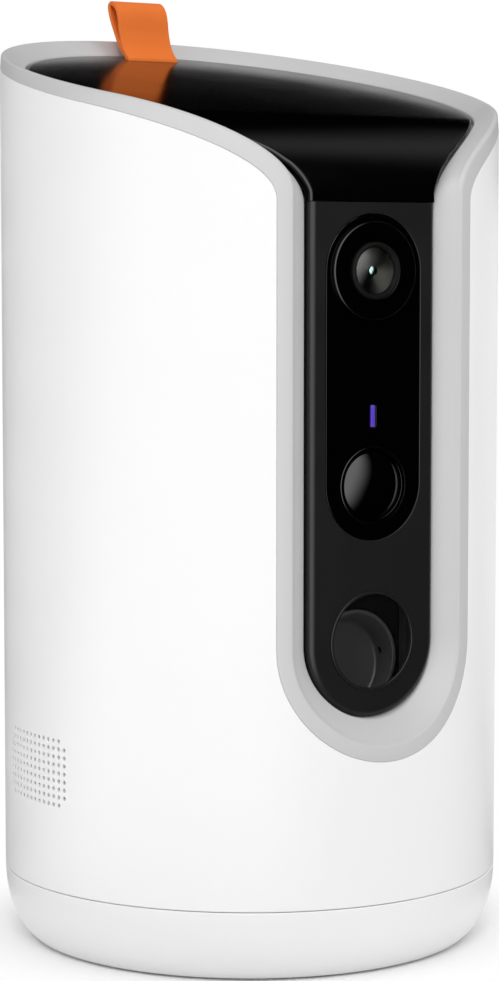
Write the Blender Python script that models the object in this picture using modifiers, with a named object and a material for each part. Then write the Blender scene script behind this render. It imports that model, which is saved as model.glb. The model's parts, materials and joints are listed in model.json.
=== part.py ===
# Treat-tossing pet camera: a white drum with a slanted rim, a black lid that is
# lifted off by a strap, and a dark front panel with lens, status light, motion
# sensor and treat outlet. The scene is in metres, the values below in millimetres.
# Frame: origin at the centre of the foot, +Z up, the front panel faces -Y.

import math

import bmesh
import bpy
from mathutils import Matrix, Vector

MM = 0.001
GAP = 0.3

# Drum
BODY_RADIUS = 61.5
WALL = 2.5
SEAM_Z = 17.7
FOOT_RADIUS = 55.0
DRUM_SIDES = 44

# Slanted rim: its ridge lies in a plane that rises towards the back
RIM_Z = 212.4
RIM_SLOPE = 0.222

# Front opening: straight sides and a round bottom
OPENING_HALF = 27.2
OPENING_Z = 78.6

# The rim is made of lines that run round it side by side. Along the slanted top a line has
# a radius and a drop below the rim's plane. At the front it bends down over some run in y
# to its foot height, then keeps a half-width beside and under the opening, at its own
# radius or, where flat_y is given, at one depth.
#            radius, drop, half-width, flat_y, run, foot z
LIP_OUTER = (BODY_RADIUS, 3.6, OPENING_HALF, None, 33.7, 181.8)
LIP_INNER = (55.35, 3.0, 17.9, None, 22.0, 180.6)
LIP_LINES = [
    LIP_OUTER,
    (61.25, 0.4, 23.7, None, 29.3, 183.6),
    (60.5, 0.0, 23.1, None, 28.3, 184.0),
    (59.7, 0.35, 22.4, None, 27.5, 183.4),
    LIP_INNER,
    (55.35, 5.9, 17.9, -50.0, 20.5, 180.0),
    (52.5, 5.9, 16.8, -50.0, 20.0, 180.0),
    (52.5, 7.4, 16.8, -49.0, 19.0, 179.0),
    (57.1, 7.4, 20.5, -49.0, 20.0, 179.0),
]
LIP_SKIRT_Z = 177.0

# Front panel
PANEL_HALF = 17.6
PANEL_FACE_Y = -54.3
PANEL_THICK = 4.0
PANEL_TOP_Z = 181.2
INSET_HALF = 13.15
INSET_TOP_Z = 178.7
INSET_BOTTOM_Z = 102.8
INSET_FACE_Y = -53.9
LENS_Z = 165.6
LIGHT_Z = 131.8
SENSOR_Z = 115.6
OUTLET_Z = 79.0
OUTLET_RADIUS = 11.7

# Lid
LID_RADIUS = LIP_INNER[0] - 1.5 * GAP
LID_DROP = LIP_INNER[1]
LID_THICK = 2.6
LID_RUN = 25.8
LID_FOOT_Z = 181.5
LID_EDGE_GAP = 0.8
STRAP_HALF = 7.45
STRAP_Y = 48.5

# Rear and side of the drum
SPEAKER_Z = 46.6
SPEAKER_COLUMNS = 14
SPEAKER_ROWS = 9
SPEAKER_PITCH_DEG = 1.9
SPEAKER_PITCH_Z = 1.93
SPEAKER_HOLE = 0.55
INLET_Z = 30.0
BUTTON_Z = 42.0

# Treat store
STORE_Y = 2.5
STORE_RADIUS = 42.5
STORE_WALL = 1.8
STORE_DROP = 8.2
SKIRT_OUTER = STORE_RADIUS - 1.6
SKIRT_INNER = SKIRT_OUTER - 1.2
SKIRT_DEPTH = 6.4
ROTOR_RADIUS = 27.2
POCKET_RADIUS = 7.0
POCKET_ORBIT = 18.0
DROP_RADIUS = 7.5
ROTOR_Z = 104.6

# Base screws and decks
BASE_SCREW_ORBIT = 38.0
BASE_SCREW_TURNS = (90, 210, 330)
POSTS = ((34, 34), (-34, 34), (40, -22), (-40, -22))
LOWER_DECK_Z = 17.9
UPPER_DECK_Z = 98.9
DECK_THICK = 2.5

# Launcher: a cup on an arm that swings back about this axle and springs forward
PIVOT_Y = -24.0
PIVOT_Z = 44.0
CUP_Z = 73.7
CUP_RADIUS = 11.9
CUP_WALL = 0.9
CUP_CORNER = 1.1
CUP_SIDES = 28
CUP_DEPTH = 6.9
CUP_DIP = 0.36
CUP_FRONT_Y = -46.9
GEAR_MODULE = 1.0
ARM_TEETH = 30
PINION_TEETH = 12
SECTOR_TEETH = 8
SECTOR_FIRST = -12
PRESSURE_ANGLE = 20
GEAR_PLAY = 0.28
GEAR_X = (14.0, 17.4)
HUB_RADIUS = 5.0
AXLE_RADIUS = 1.5

PLASTICS = {
    "white": ((0.88, 0.88, 0.87), 0.32, 0.0),
    "light_grey": ((0.60, 0.60, 0.61), 0.45, 0.0),
    "gloss_black": ((0.008, 0.008, 0.009), 0.08, 0.0),
    "satin_black": ((0.018, 0.018, 0.019), 0.38, 0.0),
    "dark_grey": ((0.06, 0.06, 0.065), 0.45, 0.0),
    "mid_grey": ((0.30, 0.30, 0.31), 0.5, 0.0),
    "natural": ((0.75, 0.74, 0.70), 0.5, 0.0),
    "smoke": ((0.25, 0.25, 0.27), 0.15, 0.0),
    "rubber": ((0.03, 0.03, 0.03), 0.8, 0.0),
    "silicone": ((0.55, 0.56, 0.58), 0.6, 0.0),
    "strap": ((0.80, 0.20, 0.03), 0.6, 0.0),
    "board": ((0.02, 0.16, 0.07), 0.4, 0.0),
    "steel": ((0.55, 0.55, 0.56), 0.3, 1.0),
    "glass": ((0.02, 0.04, 0.04), 0.03, 0.0),
    "indigo": ((0.10, 0.04, 0.55), 0.3, 0.0),
    "cone": ((0.04, 0.04, 0.04), 0.7, 0.0),
}


def clear_scene():
    for obj in list(bpy.data.objects):
        bpy.data.objects.remove(obj, do_unlink=True)


def new_collection(name):
    coll = bpy.data.collections.new(name)
    bpy.context.scene.collection.children.link(coll)
    return coll


def plastic(slot):
    """The shared material of one colour."""
    if slot in bpy.data.materials:
        return bpy.data.materials[slot]
    colour, roughness, metallic = PLASTICS[slot]
    mat = bpy.data.materials.new(slot)
    mat.use_nodes = True
    shader = mat.node_tree.nodes["Principled BSDF"]
    shader.inputs["Base Color"].default_value = (*colour, 1.0)
    shader.inputs["Roughness"].default_value = roughness
    shader.inputs["Metallic"].default_value = metallic
    return mat


def file_away(obj, slot):
    """Puts a part in the product's collection, or a tool shape (no slot) in the other."""
    for coll in list(obj.users_collection):
        coll.objects.unlink(obj)
    if slot is None:
        TOOLS.objects.link(obj)
        obj.hide_render = True
        obj.display_type = "WIRE"
    else:
        PRODUCT.objects.link(obj)
        obj.data.materials.clear()
        obj.data.materials.append(plastic(slot))
    return obj


def mesh_object(name, mesh, slot, smooth=False):
    obj = bpy.data.objects.new(name, mesh)
    bpy.context.scene.collection.objects.link(obj)
    if smooth:
        mesh.shade_smooth()
        mesh.set_sharp_from_angle(angle=math.radians(35))
    return file_away(obj, slot)


def block(name, x, y, z, slot=None):
    """A box between two x, two y and two z values."""
    low, high = Vector((x[0], y[0], z[0])), Vector((x[1], y[1], z[1]))
    bpy.ops.mesh.primitive_cube_add(size=1.0, location=(low + high) * 0.5 * MM)
    obj = bpy.context.active_object
    obj.name = name
    obj.scale = (high - low) * MM
    bpy.ops.object.transform_apply(location=False, rotation=False, scale=True)
    return file_away(obj, slot)


def rod(name, axis, start, end, centre, radius, slot=None, sides=24):
    """A round bar along an axis from start to end; centre holds the other two values."""
    middle = 0.5 * (start + end)
    place = {"X": (middle, *centre), "Y": (centre[0], middle, centre[1]), "Z": (*centre, middle)}
    tilt = {"X": (0, math.pi / 2, 0), "Y": (math.pi / 2, 0, 0), "Z": (0, 0, 0)}
    bpy.ops.mesh.primitive_cylinder_add(
        vertices=sides, radius=radius * MM, depth=(end - start) * MM,
        location=Vector(place[axis]) * MM, rotation=tilt[axis])
    obj = bpy.context.active_object
    obj.name = name
    obj.data.shade_smooth()
    obj.data.set_sharp_from_angle(angle=math.radians(40))
    return file_away(obj, slot)


def turned(name, profile, slot=None, centre=(0, 0), sides=48, ring=True, tilt=(0, 0, 0), height=0.0):
    """A profile of (radius, height) points, down its outer side, turned about a local Z axis."""
    mesh = bpy.data.meshes.new(name)
    count = len(profile)
    edges = [(i, i + 1) for i in range(count - 1)]
    if ring:
        edges.append((count - 1, 0))
    mesh.from_pydata([(r * MM, 0, h * MM) for r, h in profile], edges, [])
    obj = bpy.data.objects.new(name, mesh)
    bpy.context.scene.collection.objects.link(obj)
    obj.location = Vector((centre[0], centre[1], height)) * MM
    obj.rotation_euler = tilt
    mod = obj.modifiers.new("turn", "SCREW")
    mod.steps = sides
    mod.render_steps = sides
    mod.use_merge_vertices = True
    mod.merge_threshold = 0.00001
    mod.use_smooth_shade = False
    return file_away(obj, slot)


def plate(name, loops, span, plane, slot=None):
    """Flat outlines, the first one outside and the others holes, given a thickness.

    plane FRONT reads points as (x, z) and runs from y = span[0] to span[1],
    SIDE reads (y, z) along x, and TOP reads (x, y) along z.
    """
    curve = bpy.data.curves.new(name, "CURVE")
    curve.dimensions = "2D"
    curve.fill_mode = "BOTH"
    curve.extrude = 0.5 * (span[1] - span[0]) * MM
    for loop in loops:
        spline = curve.splines.new("POLY")
        spline.points.add(len(loop) - 1)
        for point, (u, v) in zip(spline.points, loop):
            point.co = (u * MM, v * MM, 0, 1)
        spline.use_cyclic_u = True
    guide = bpy.data.objects.new(name + "_outline", curve)
    bpy.context.scene.collection.objects.link(guide)
    middle = 0.5 * (span[0] + span[1]) * MM
    if plane == "FRONT":
        guide.rotation_euler = (math.pi / 2, 0, 0)
        guide.location = (0, middle, 0)
    elif plane == "SIDE":
        guide.rotation_euler = (math.pi / 2, 0, math.pi / 2)
        guide.location = (middle, 0, 0)
    else:
        guide.location = (0, 0, middle)
    bpy.context.view_layer.update()
    graph = bpy.context.evaluated_depsgraph_get()
    mesh = bpy.data.meshes.new_from_object(guide.evaluated_get(graph))
    mesh.name = name
    cage = bmesh.new()
    cage.from_mesh(mesh)
    bmesh.ops.remove_doubles(cage, verts=cage.verts, dist=0.000001)
    bmesh.ops.recalc_face_normals(cage, faces=cage.faces)
    cage.to_mesh(mesh)
    cage.free()
    matrix = guide.matrix_world.copy()
    bpy.data.objects.remove(guide, do_unlink=True)
    obj = mesh_object(name, mesh, slot)
    obj.matrix_world = matrix
    return obj


def combine(target, operation, others):
    for other in others:
        mod = target.modifiers.new(other.name, "BOOLEAN")
        mod.operation = operation
        mod.solver = "EXACT"
        mod.object = other
    return target


def cut(target, *cutters):
    return combine(target, "DIFFERENCE", cutters)


def weld(target, *others):
    return combine(target, "UNION", others)


def joint_axis(name, place, *pieces):
    """An empty on a joint's axis, which carries the pieces that move with it."""
    empty = bpy.data.objects.new(name, None)
    empty.location = Vector(place) * MM
    PRODUCT.objects.link(empty)
    bpy.context.view_layer.update()
    for piece in pieces:
        piece.parent = empty
        piece.matrix_parent_inverse = empty.matrix_world.inverted()


def arc(centre, radius, start, end, steps):
    """Points on a circle between two angles in degrees."""
    angles = [math.radians(start + (end - start) * i / steps) for i in range(steps + 1)]
    return [(centre[0] + radius * math.cos(a), centre[1] + radius * math.sin(a)) for a in angles]


def circle(centre, radius, sides=32):
    return arc(centre, radius, 0, 360, sides)[:-1]


def tongue(half, bottom_centre, top, steps=16):
    """A strip with a round bottom end and a square top, as (x, z)."""
    return arc((0, bottom_centre), half, 180, 360, steps) + [(half, top), (-half, top)]


def stadium(half, low, high, steps=14):
    """A strip with two round ends, as (x, z)."""
    return arc((0, low + half), half, 180, 360, steps) + arc((0, high - half), half, 0, 180, steps)


def line_front(line):
    """Where a rim line comes down beside the opening, as (x, y)."""
    radius, _, half, flat_y, _, _ = line
    return half, flat_y if flat_y is not None else -math.sqrt(radius ** 2 - half ** 2)


def line_point(line, t):
    """The (y, z) of a rim line in its bend: t is 0 where it starts and 1 where it is upright."""
    _, drop, _, _, run, foot_z = line
    front_y = line_front(line)[1]
    fall = RIM_Z - drop + RIM_SLOPE * front_y - foot_z
    y = front_y + run * (1 - t) ** 2
    return y, RIM_Z - drop + RIM_SLOPE * y - fall * t * t


def rim_line(line, top_steps=15, bend_steps=10, round_steps=8):
    """Points of a rim line from the back, along +X, to the bottom of the front opening."""
    radius, drop, half, flat_y, run, _ = line
    front_x, front_y = line_front(line)
    start = math.acos(-(front_y + run) / radius)
    points = []
    for i in range(top_steps):
        a = math.pi + (start - math.pi) * i / top_steps
        y = -radius * math.cos(a)
        points.append(Vector((radius * math.sin(a), y, RIM_Z - drop + RIM_SLOPE * y)))
    for i in range(bend_steps + 1):
        y, z = line_point(line, i / bend_steps)
        points.append(Vector((math.sqrt(radius ** 2 - y ** 2), y, z)))
    points.append(Vector((front_x, front_y, LIP_SKIRT_Z)))
    for i in range(round_steps + 1):
        turn = 0.5 * math.pi * i / round_steps
        x = half * math.cos(turn)
        y = flat_y if flat_y is not None else -math.sqrt(radius ** 2 - x * x)
        points.append(Vector((x, y, OPENING_Z - half * math.sin(turn))))
    return points


def lip_back(outer):
    """The hidden line behind the outer one, straight in from it past the drum's wall."""
    inward = (BODY_RADIUS - WALL - GAP) / BODY_RADIUS
    return [Vector((point.x * inward, point.y * inward, point.z)) for point in outer]


def trim_ring():
    """The pale lip round the rim: a loft between unlike sections along the rim lines."""
    lines = [rim_line(line) for line in LIP_LINES]
    lines.append(lip_back(lines[0]))
    half = list(zip(*lines))
    mirrored = [[Vector((-p.x, p.y, p.z)) for p in station] for station in reversed(half[1:-1])]
    loft("trim_ring", half + mirrored, "light_grey", closed=True)


def loft(name, stations, slot, closed):
    """Joins outlines with equal numbers of points: round in a ring, or as a stack with ends."""
    cage = bmesh.new()
    rings = [[cage.verts.new(Vector(point) * MM) for point in station] for station in stations]
    followers = rings[1:] + rings[:1] if closed else rings[1:]
    for here, there in zip(rings, followers):
        for j in range(len(here)):
            k = (j + 1) % len(here)
            cage.faces.new((here[j], here[k], there[k], there[j]))
    if not closed:
        cage.faces.new(rings[0])
        cage.faces.new(rings[-1])
    bmesh.ops.recalc_face_normals(cage, faces=cage.faces)
    mesh = bpy.data.meshes.new(name)
    cage.to_mesh(mesh)
    cage.free()
    return mesh_object(name, mesh, slot, smooth=True)


def shell_columns():
    """The drum wall's top edge as (angle from the front, height), once round."""
    half_width = OPENING_HALF + GAP
    corner = math.asin(half_width / BODY_RADIUS)
    columns = []
    round_steps, bend_steps, back_steps = 9, 9, 15
    for i in range(round_steps):
        turn = 0.5 * math.pi * i / round_steps
        x = half_width * math.sin(turn)
        columns.append((math.asin(x / BODY_RADIUS), OPENING_Z - half_width * math.cos(turn) - GAP))
    columns.append((corner, OPENING_Z - GAP))
    for i in range(bend_steps):
        y, z = line_point(LIP_OUTER, 1 - i / bend_steps)
        shift = GAP * math.sin(corner) * (1 - i / bend_steps)
        columns.append((math.acos(-(y + shift) / BODY_RADIUS), z - GAP))
    front = math.acos(-(line_front(LIP_OUTER)[1] + LIP_OUTER[4]) / BODY_RADIUS)
    for i in range(back_steps + 1):
        a = front + (math.pi - front) * i / back_steps
        columns.append((a, RIM_Z - LIP_OUTER[1] - RIM_SLOPE * BODY_RADIUS * math.cos(a) - GAP))
    columns[round_steps + 1] = (corner, columns[round_steps + 1][1])
    return columns + [(-a, z) for a, z in reversed(columns[1:-1])]


def outer_shell():
    """Drum wall whose top edge follows the rim, with a step up beside the front opening."""
    columns = shell_columns()
    count = len(columns)
    cage = bmesh.new()
    walls = []
    for radius in (BODY_RADIUS, BODY_RADIUS - WALL):
        feet, tops = [], []
        for i, (a, top) in enumerate(columns):
            x, y = radius * math.sin(a), -radius * math.cos(a)
            same_place = i > 0 and abs(a - columns[i - 1][0]) < 1e-6
            foot = feet[-1] if same_place else cage.verts.new(Vector((x, y, SEAM_Z + GAP)) * MM)
            feet.append(foot)
            tops.append(cage.verts.new(Vector((x, y, top)) * MM))
        walls.append((feet, tops))
    for side, (feet, tops) in enumerate(walls):
        for i in range(count):
            j = (i + 1) % count
            if feet[i] is feet[j]:
                continue
            face = [feet[i], feet[j], tops[j], tops[i]]
            beyond = (j + 1) % count
            if feet[j] is feet[beyond] and tops[beyond].co.z < tops[j].co.z:
                face.insert(2, tops[beyond])
            if feet[i] is feet[i - 1] and tops[i].co.z > tops[i - 1].co.z:
                face.append(tops[i - 1])
            cage.faces.new(face if side == 0 else face[::-1])
    (feet, tops), (inner_feet, inner_tops) = walls
    for i in range(count):
        j = (i + 1) % count
        cage.faces.new((tops[i], tops[j], inner_tops[j], inner_tops[i]))
        if feet[i] is not feet[j]:
            cage.faces.new((feet[j], feet[i], inner_feet[i], inner_feet[j]))
    mesh = bpy.data.meshes.new("outer_shell")
    cage.to_mesh(mesh)
    cage.free()
    shell = mesh_object("outer_shell", mesh, "white", smooth=True)
    cut(shell, speaker_holes())
    cut(shell, plate("inlet_opening", [slot_outline(5.0, 2.2, INLET_Z)], (54, 66), "FRONT"),
        rod("button_opening", "Y", 54, 66, (0, BUTTON_Z), 2.7))


def slot_outline(half_width, half_height, z):
    """A level slot with round ends, as (x, z)."""
    reach = half_width - half_height
    right = arc((reach, z), half_height, -90, 90, 8)
    left = arc((-reach, z), half_height, 90, 270, 8)
    return right + left


def speaker_holes():
    """A grid of small round holes through the drum wall on the -X side, less its corners."""
    cage = bmesh.new()
    turn_up = Matrix.Rotation(math.pi / 2, 4, "Y")
    for column in range(SPEAKER_COLUMNS):
        angle = math.radians(-90 + SPEAKER_PITCH_DEG * (column - (SPEAKER_COLUMNS - 1) / 2))
        for row in range(SPEAKER_ROWS):
            if column in (0, SPEAKER_COLUMNS - 1) and row in (0, SPEAKER_ROWS - 1):
                continue
            z = SPEAKER_Z + SPEAKER_PITCH_Z * (row - (SPEAKER_ROWS - 1) / 2)
            reach = BODY_RADIUS - 0.5 * WALL
            spot = Vector((reach * math.sin(angle), -reach * math.cos(angle), z)) * MM
            matrix = Matrix.Translation(spot) @ Matrix.Rotation(angle - math.pi / 2, 4, "Z") @ turn_up
            bmesh.ops.create_cone(cage, cap_ends=True, segments=4, radius1=SPEAKER_HOLE * MM,
                                  radius2=SPEAKER_HOLE * MM, depth=2 * WALL * MM, matrix=matrix)
    mesh = bpy.data.meshes.new("speaker_holes")
    cage.to_mesh(mesh)
    cage.free()
    return mesh_object("speaker_holes", mesh, None)


def bent_line(drop, back_y, front_y, run, foot_z, steps=8):
    """The side view of a slanted surface that bends down at the front, as (y, z)."""
    fall = RIM_Z - drop + RIM_SLOPE * front_y - foot_z
    points = [(back_y, RIM_Z - drop + RIM_SLOPE * back_y)]
    for i in range(steps + 1):
        t = i / steps
        y = front_y + run * (1 - t) ** 2
        points.append((y, RIM_Z - drop + RIM_SLOPE * y - fall * t * t))
    return points


def lip_half_width(z):
    """Half the width between the two sides of the lip's inner line, at a height on its bend."""
    radius, drop, _, _, run, foot_z = LIP_INNER
    front_y = line_front(LIP_INNER)[1]
    level, rise = RIM_Z - drop, RIM_SLOPE * run
    fall = level + RIM_SLOPE * front_y - foot_z
    above = fall + foot_z + rise - z
    if above <= 0:
        return math.sqrt(radius ** 2 - ((z - level) / RIM_SLOPE) ** 2)
    t = (math.sqrt(rise ** 2 + (fall - rise) * above) - rise) / (fall - rise)
    return math.sqrt(radius ** 2 - (front_y + run * (1 - t) ** 2) ** 2)


def lid_half_width(above, below):
    """Half the lid's width where its edge joins two (y, z) points, just clear of the lip."""
    widths = []
    for i in range(6):
        y, z = (start + (end - start) * i / 5 for start, end in zip(above, below))
        widths.append(max(lip_half_width(z), math.sqrt(LIP_INNER[0] ** 2 - y ** 2)))
    return max(PANEL_HALF, min(widths) - LID_EDGE_GAP)


def lid_sheet(step_deg=8):
    """The lid's sheet: round at the back, and down the bend as wide as the lip leaves it."""
    upper = bent_line(LID_DROP, 0, PANEL_FACE_Y, LID_RUN, LID_FOOT_Z, 10)[1:]
    lower = bent_line(LID_DROP + LID_THICK, 0, PANEL_FACE_Y + LID_THICK, LID_RUN - 0.8 * LID_THICK,
                      LID_FOOT_Z, 10)[1:]
    edges = []
    a = 0.5 * step_deg
    while LID_RADIUS * math.cos(math.radians(a)) > upper[0][0]:
        y = LID_RADIUS * math.cos(math.radians(a))
        z = RIM_Z - LID_DROP + RIM_SLOPE * y
        edges.append((LID_RADIUS * math.sin(math.radians(a)), (y, z), (y, z - LID_THICK)))
        a += step_deg
    edges += [(lid_half_width(above, below), above, below) for above, below in zip(upper, lower)]
    stations = [[(-x, *above), (x, *above), (x, *below), (-x, *below)] for x, above, below in edges]
    return loft("lid", stations, "gloss_black", closed=False)


def slanted_ring(name, profile, slot=None, sides=32):
    """A ring about the treat store's axis, slanted with the rim; heights are from the rim plane."""
    stations = []
    for i in range(sides):
        a = 2 * math.pi * i / sides
        spots = [(r * math.cos(a), STORE_Y + r * math.sin(a), h) for r, h in profile]
        stations.append([(x, y, RIM_Z + h + RIM_SLOPE * y) for x, y, h in spots])
    return loft(name, stations, slot, closed=True)


def lid():
    """Black lid: a bent sheet with a skirt that enters the treat store."""
    sheet = lid_sheet()
    top, foot, flange = 0.6 - LID_DROP - LID_THICK, -LID_DROP - LID_THICK - SKIRT_DEPTH, 1.1
    skirt = [(SKIRT_OUTER, top), (SKIRT_OUTER, foot + 1.0), (SKIRT_OUTER + flange, foot + 1.0),
             (SKIRT_OUTER + flange, foot), (SKIRT_INNER, foot), (SKIRT_INNER, top)]
    weld(sheet, slanted_ring("lid_skirt", skirt))
    slot_z = RIM_Z - LID_DROP + RIM_SLOPE * STRAP_Y
    reach = STRAP_HALF + GAP
    cut(sheet, block("strap_slot", (-reach, reach), (STRAP_Y - 1.4, STRAP_Y + 1.4), (slot_z - 6, slot_z + 3)),
        block("strap_seat", (-reach, reach), (STRAP_Y - 2.2, STRAP_Y + 2.2), (slot_z - 6, slot_z - 1.4)))


def lid_seal():
    """Soft ring on the skirt's flange, just clear of the treat store's wall."""
    inner, outer = SKIRT_OUTER + GAP, STORE_RADIUS - GAP
    foot = -LID_DROP - LID_THICK - SKIRT_DEPTH + 1.0 + GAP
    slanted_ring("lid_seal", [(outer, foot + 2.2), (outer, foot), (inner, foot), (inner, foot + 2.2)],
                 "silicone")


def pull_tab():
    """Strap loop that leans back over the lid, with a thick end held under its slot."""
    foot = RIM_Z - LID_DROP + RIM_SLOPE * STRAP_Y
    outside = [(STRAP_Y - 1.0, foot + 0.2), (50.4, 223.4), (51.9, 227.3), (52.6, 231.2), (53.5, 233.6),
               (55.2, 235.3), (57.2, 235.9), (58.5, 235.2), (58.6, 233.6), (57.4, 230.7), (55.2, 227.0),
               (52.9, 223.6), (STRAP_Y + 1.1, foot + 0.4), (STRAP_Y + 1.1, foot - 1.7),
               (STRAP_Y + 1.8, foot - 1.7), (STRAP_Y + 1.8, foot - 2.6), (STRAP_Y - 1.8, foot - 2.6),
               (STRAP_Y - 1.8, foot - 1.7), (STRAP_Y - 1.0, foot - 1.7)]
    inside = [(52.4, 225.3), (53.0, 227.6), (53.6, 230.9), (54.4, 232.9), (55.7, 234.2), (57.0, 234.7),
              (57.4, 233.8), (56.4, 231.1), (54.3, 227.6)]
    plate("pull_tab", [outside, inside], (-STRAP_HALF, STRAP_HALF), "SIDE", "strap")


def store_collar():
    """Slanted shelf round the mouth of the treat store, under the lid."""
    thick = 1.5
    upper = bent_line(LID_DROP + 3.5, 60, PANEL_FACE_Y + 3.6, LID_RUN, LID_FOOT_Z + 2)
    lower = bent_line(LID_DROP + 3.5 + thick, 60, PANEL_FACE_Y + 3.6 + thick, LID_RUN - 0.8 * thick,
                      LID_FOOT_Z + 2)
    outline = upper + lower[::-1]
    collar = plate("store_collar", [outline], (-60, 60), "SIDE", "dark_grey")
    plan = plate("collar_plan", [circle((0, 0), 52.0, 32)], (150, 240), "TOP")
    combine(collar, "INTERSECT", [plan])
    cut(collar, rod("collar_mouth", "Z", 150, 240, (0, STORE_Y), STORE_RADIUS + STORE_WALL + 2 * GAP, None, 32))


def treat_store():
    """Hopper: a wide cylinder, a cone and the rotor's housing, with a drop hole at the front."""
    floor = UPPER_DECK_Z + DECK_THICK + GAP
    wide = STORE_RADIUS + STORE_WALL
    housing = ROTOR_RADIUS + 0.6
    profile = [(wide, 222), (wide, 142), (housing + STORE_WALL, 120), (housing + STORE_WALL, floor),
               (2.6, floor), (2.6, floor + 2.2), (housing, floor + 2.2), (housing, 121),
               (STORE_RADIUS, 143), (STORE_RADIUS, 222)]
    store = turned("treat_store", profile, "smoke", (0, STORE_Y), 32)
    mouth = RIM_Z - STORE_DROP
    top = [(-60, mouth - RIM_SLOPE * 60), (60, mouth + RIM_SLOPE * 60), (60, 240), (-60, 240)]
    cut(store, plate("store_top", [top], (-60, 60), "SIDE"))
    cut(store, rod("drop_hole", "Z", floor - 3, floor + 4, (0, STORE_Y - POCKET_ORBIT),
                   DROP_RADIUS, None, 16))


def dispense_rotor():
    """Turning disc with four treat pockets and a low cone that stirs the treats."""
    low, high = ROTOR_Z, ROTOR_Z + 9.0
    profile = [(2.6, high + 9), (5.0, high + 7.5), (7.0, high), (ROTOR_RADIUS, high),
               (ROTOR_RADIUS, low), (2.6, low)]
    rotor = turned("dispense_rotor", profile, "light_grey", (0, STORE_Y), 28)
    for i in range(4):
        a = math.radians(45 + 90 * i)
        spot = (POCKET_ORBIT * math.cos(a), STORE_Y + POCKET_ORBIT * math.sin(a))
        cut(rotor, rod("pocket_%d" % (i + 1), "Z", low - 2, high + 3, spot, POCKET_RADIUS, None, 12))


def rotor_drive():
    """Shaft of the rotor, and its flat geared motor under the upper deck."""
    turned("rotor_shaft", [(0, ROTOR_Z + 14), (2.3, ROTOR_Z + 14), (2.3, 99.1), (0, 99.1)],
           "steel", (0, STORE_Y), 12, ring=False)
    body = rod("rotor_motor", "Z", 90.5, 98.6, (0, STORE_Y), 8.5, "steel", 24)
    weld(body, block("rotor_motor_ear", (-12.5, 12.5), (STORE_Y - 3, STORE_Y + 3), (96.6, 98.6)))


def bezier(start, pull_start, pull_end, end, steps=5):
    """Points of a cubic curve in a plane."""
    points = []
    for i in range(steps + 1):
        t = i / steps
        weights = ((1 - t) ** 3, 3 * (1 - t) ** 2 * t, 3 * (1 - t) * t * t, t ** 3)
        corners = (start, pull_start, pull_end, end)
        points.append(tuple(sum(w * p[axis] for w, p in zip(weights, corners)) for axis in (0, 1)))
    return points


def base_screw_spots():
    """Number and place of each screw that holds the base to the lower deck."""
    spots = []
    for i, degrees in enumerate(BASE_SCREW_TURNS):
        a = math.radians(degrees)
        spots.append((str(i + 1), (BASE_SCREW_ORBIT * math.cos(a), BASE_SCREW_ORBIT * math.sin(a))))
    return spots


def base():
    """Bowl, rubber foot, steel weight and screws."""
    floor, inner_floor, groove = 0.6, 3.8, (45.4, 52.6, 2.4)
    edge = SEAM_Z - GAP
    wall = bezier((BODY_RADIUS, edge), (61.2, 8.6), (58.6, 3.4), (FOOT_RADIUS, floor))
    inside = [(0, inner_floor), (50.5, inner_floor), (57.2, 9.0), (BODY_RADIUS - 2.6, edge)]
    foot = [(groove[1], floor), (groove[1], groove[2]), (groove[0], groove[2]), (groove[0], floor), (0, floor)]
    cup = turned("base_cup", inside + wall + foot, "white", sides=DRUM_SIDES, ring=False)
    for number, spot in base_screw_spots():
        weld(cup, rod("screw_boss_" + number, "Z", 3.0, edge + 0.1, spot, 4.5, None, 10))
        cut(cup, rod("screw_way_" + number, "Z", -1, 20, spot, 1.9, None, 8),
            rod("screw_recess_" + number, "Z", -1, 3.0, spot, 3.5, None, 12))
        turned("base_screw_" + number, [(0, 25), (1.5, 25), (1.5, 2.6), (3.1, 2.6), (3.1, 1.0), (0, 1.0)],
               "steel", spot, 8, ring=False)
    turned("foot_ring", [(52.3, 2.1), (52.0, 0), (46.0, 0), (45.7, 2.1)], "rubber", sides=40)
    turned("base_weight", [(31.0, 8.1), (31.0, 4.1), (8.0, 4.1), (8.0, 8.1)], "steel", sides=24)


def decks():
    """Lower deck on the base, upper deck on four posts."""
    top = LOWER_DECK_Z + DECK_THICK
    lower = turned("lower_deck", [(0, top), (58.6, top), (58.6, LOWER_DECK_Z), (0, LOWER_DECK_Z)],
                   "mid_grey", sides=36, ring=False)
    for number, spot in base_screw_spots():
        weld(lower, rod("deck_boss_" + number, "Z", top - 1, top + 6, spot, 4.0, None, 10))
        cut(lower, rod("deck_hole_" + number, "Z", LOWER_DECK_Z - 1, top + 8, spot, 1.8, None, 8))
    front_cut = 41
    plan = arc((0, 0), 58.4, -90 + front_cut, 270 - front_cut, 30)
    upper = plate("upper_deck", [plan], (UPPER_DECK_Z, UPPER_DECK_Z + DECK_THICK), "TOP", "mid_grey")
    drop = (0, STORE_Y - POCKET_ORBIT)
    weld(upper, rod("chute_wall", "Z", 94.4, UPPER_DECK_Z + 1, drop, DROP_RADIUS + 1.2, None, 16))
    cut(upper, rod("chute_way", "Z", 90, 104, drop, DROP_RADIUS, None, 16),
        rod("shaft_way", "Z", 90, 104, (0, STORE_Y), 3.0, None, 12))
    for i, spot in enumerate(POSTS):
        rod("deck_post_%d" % (i + 1), "Z", top + GAP, UPPER_DECK_Z - GAP, spot, 3.0, "steel", 10)


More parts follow.
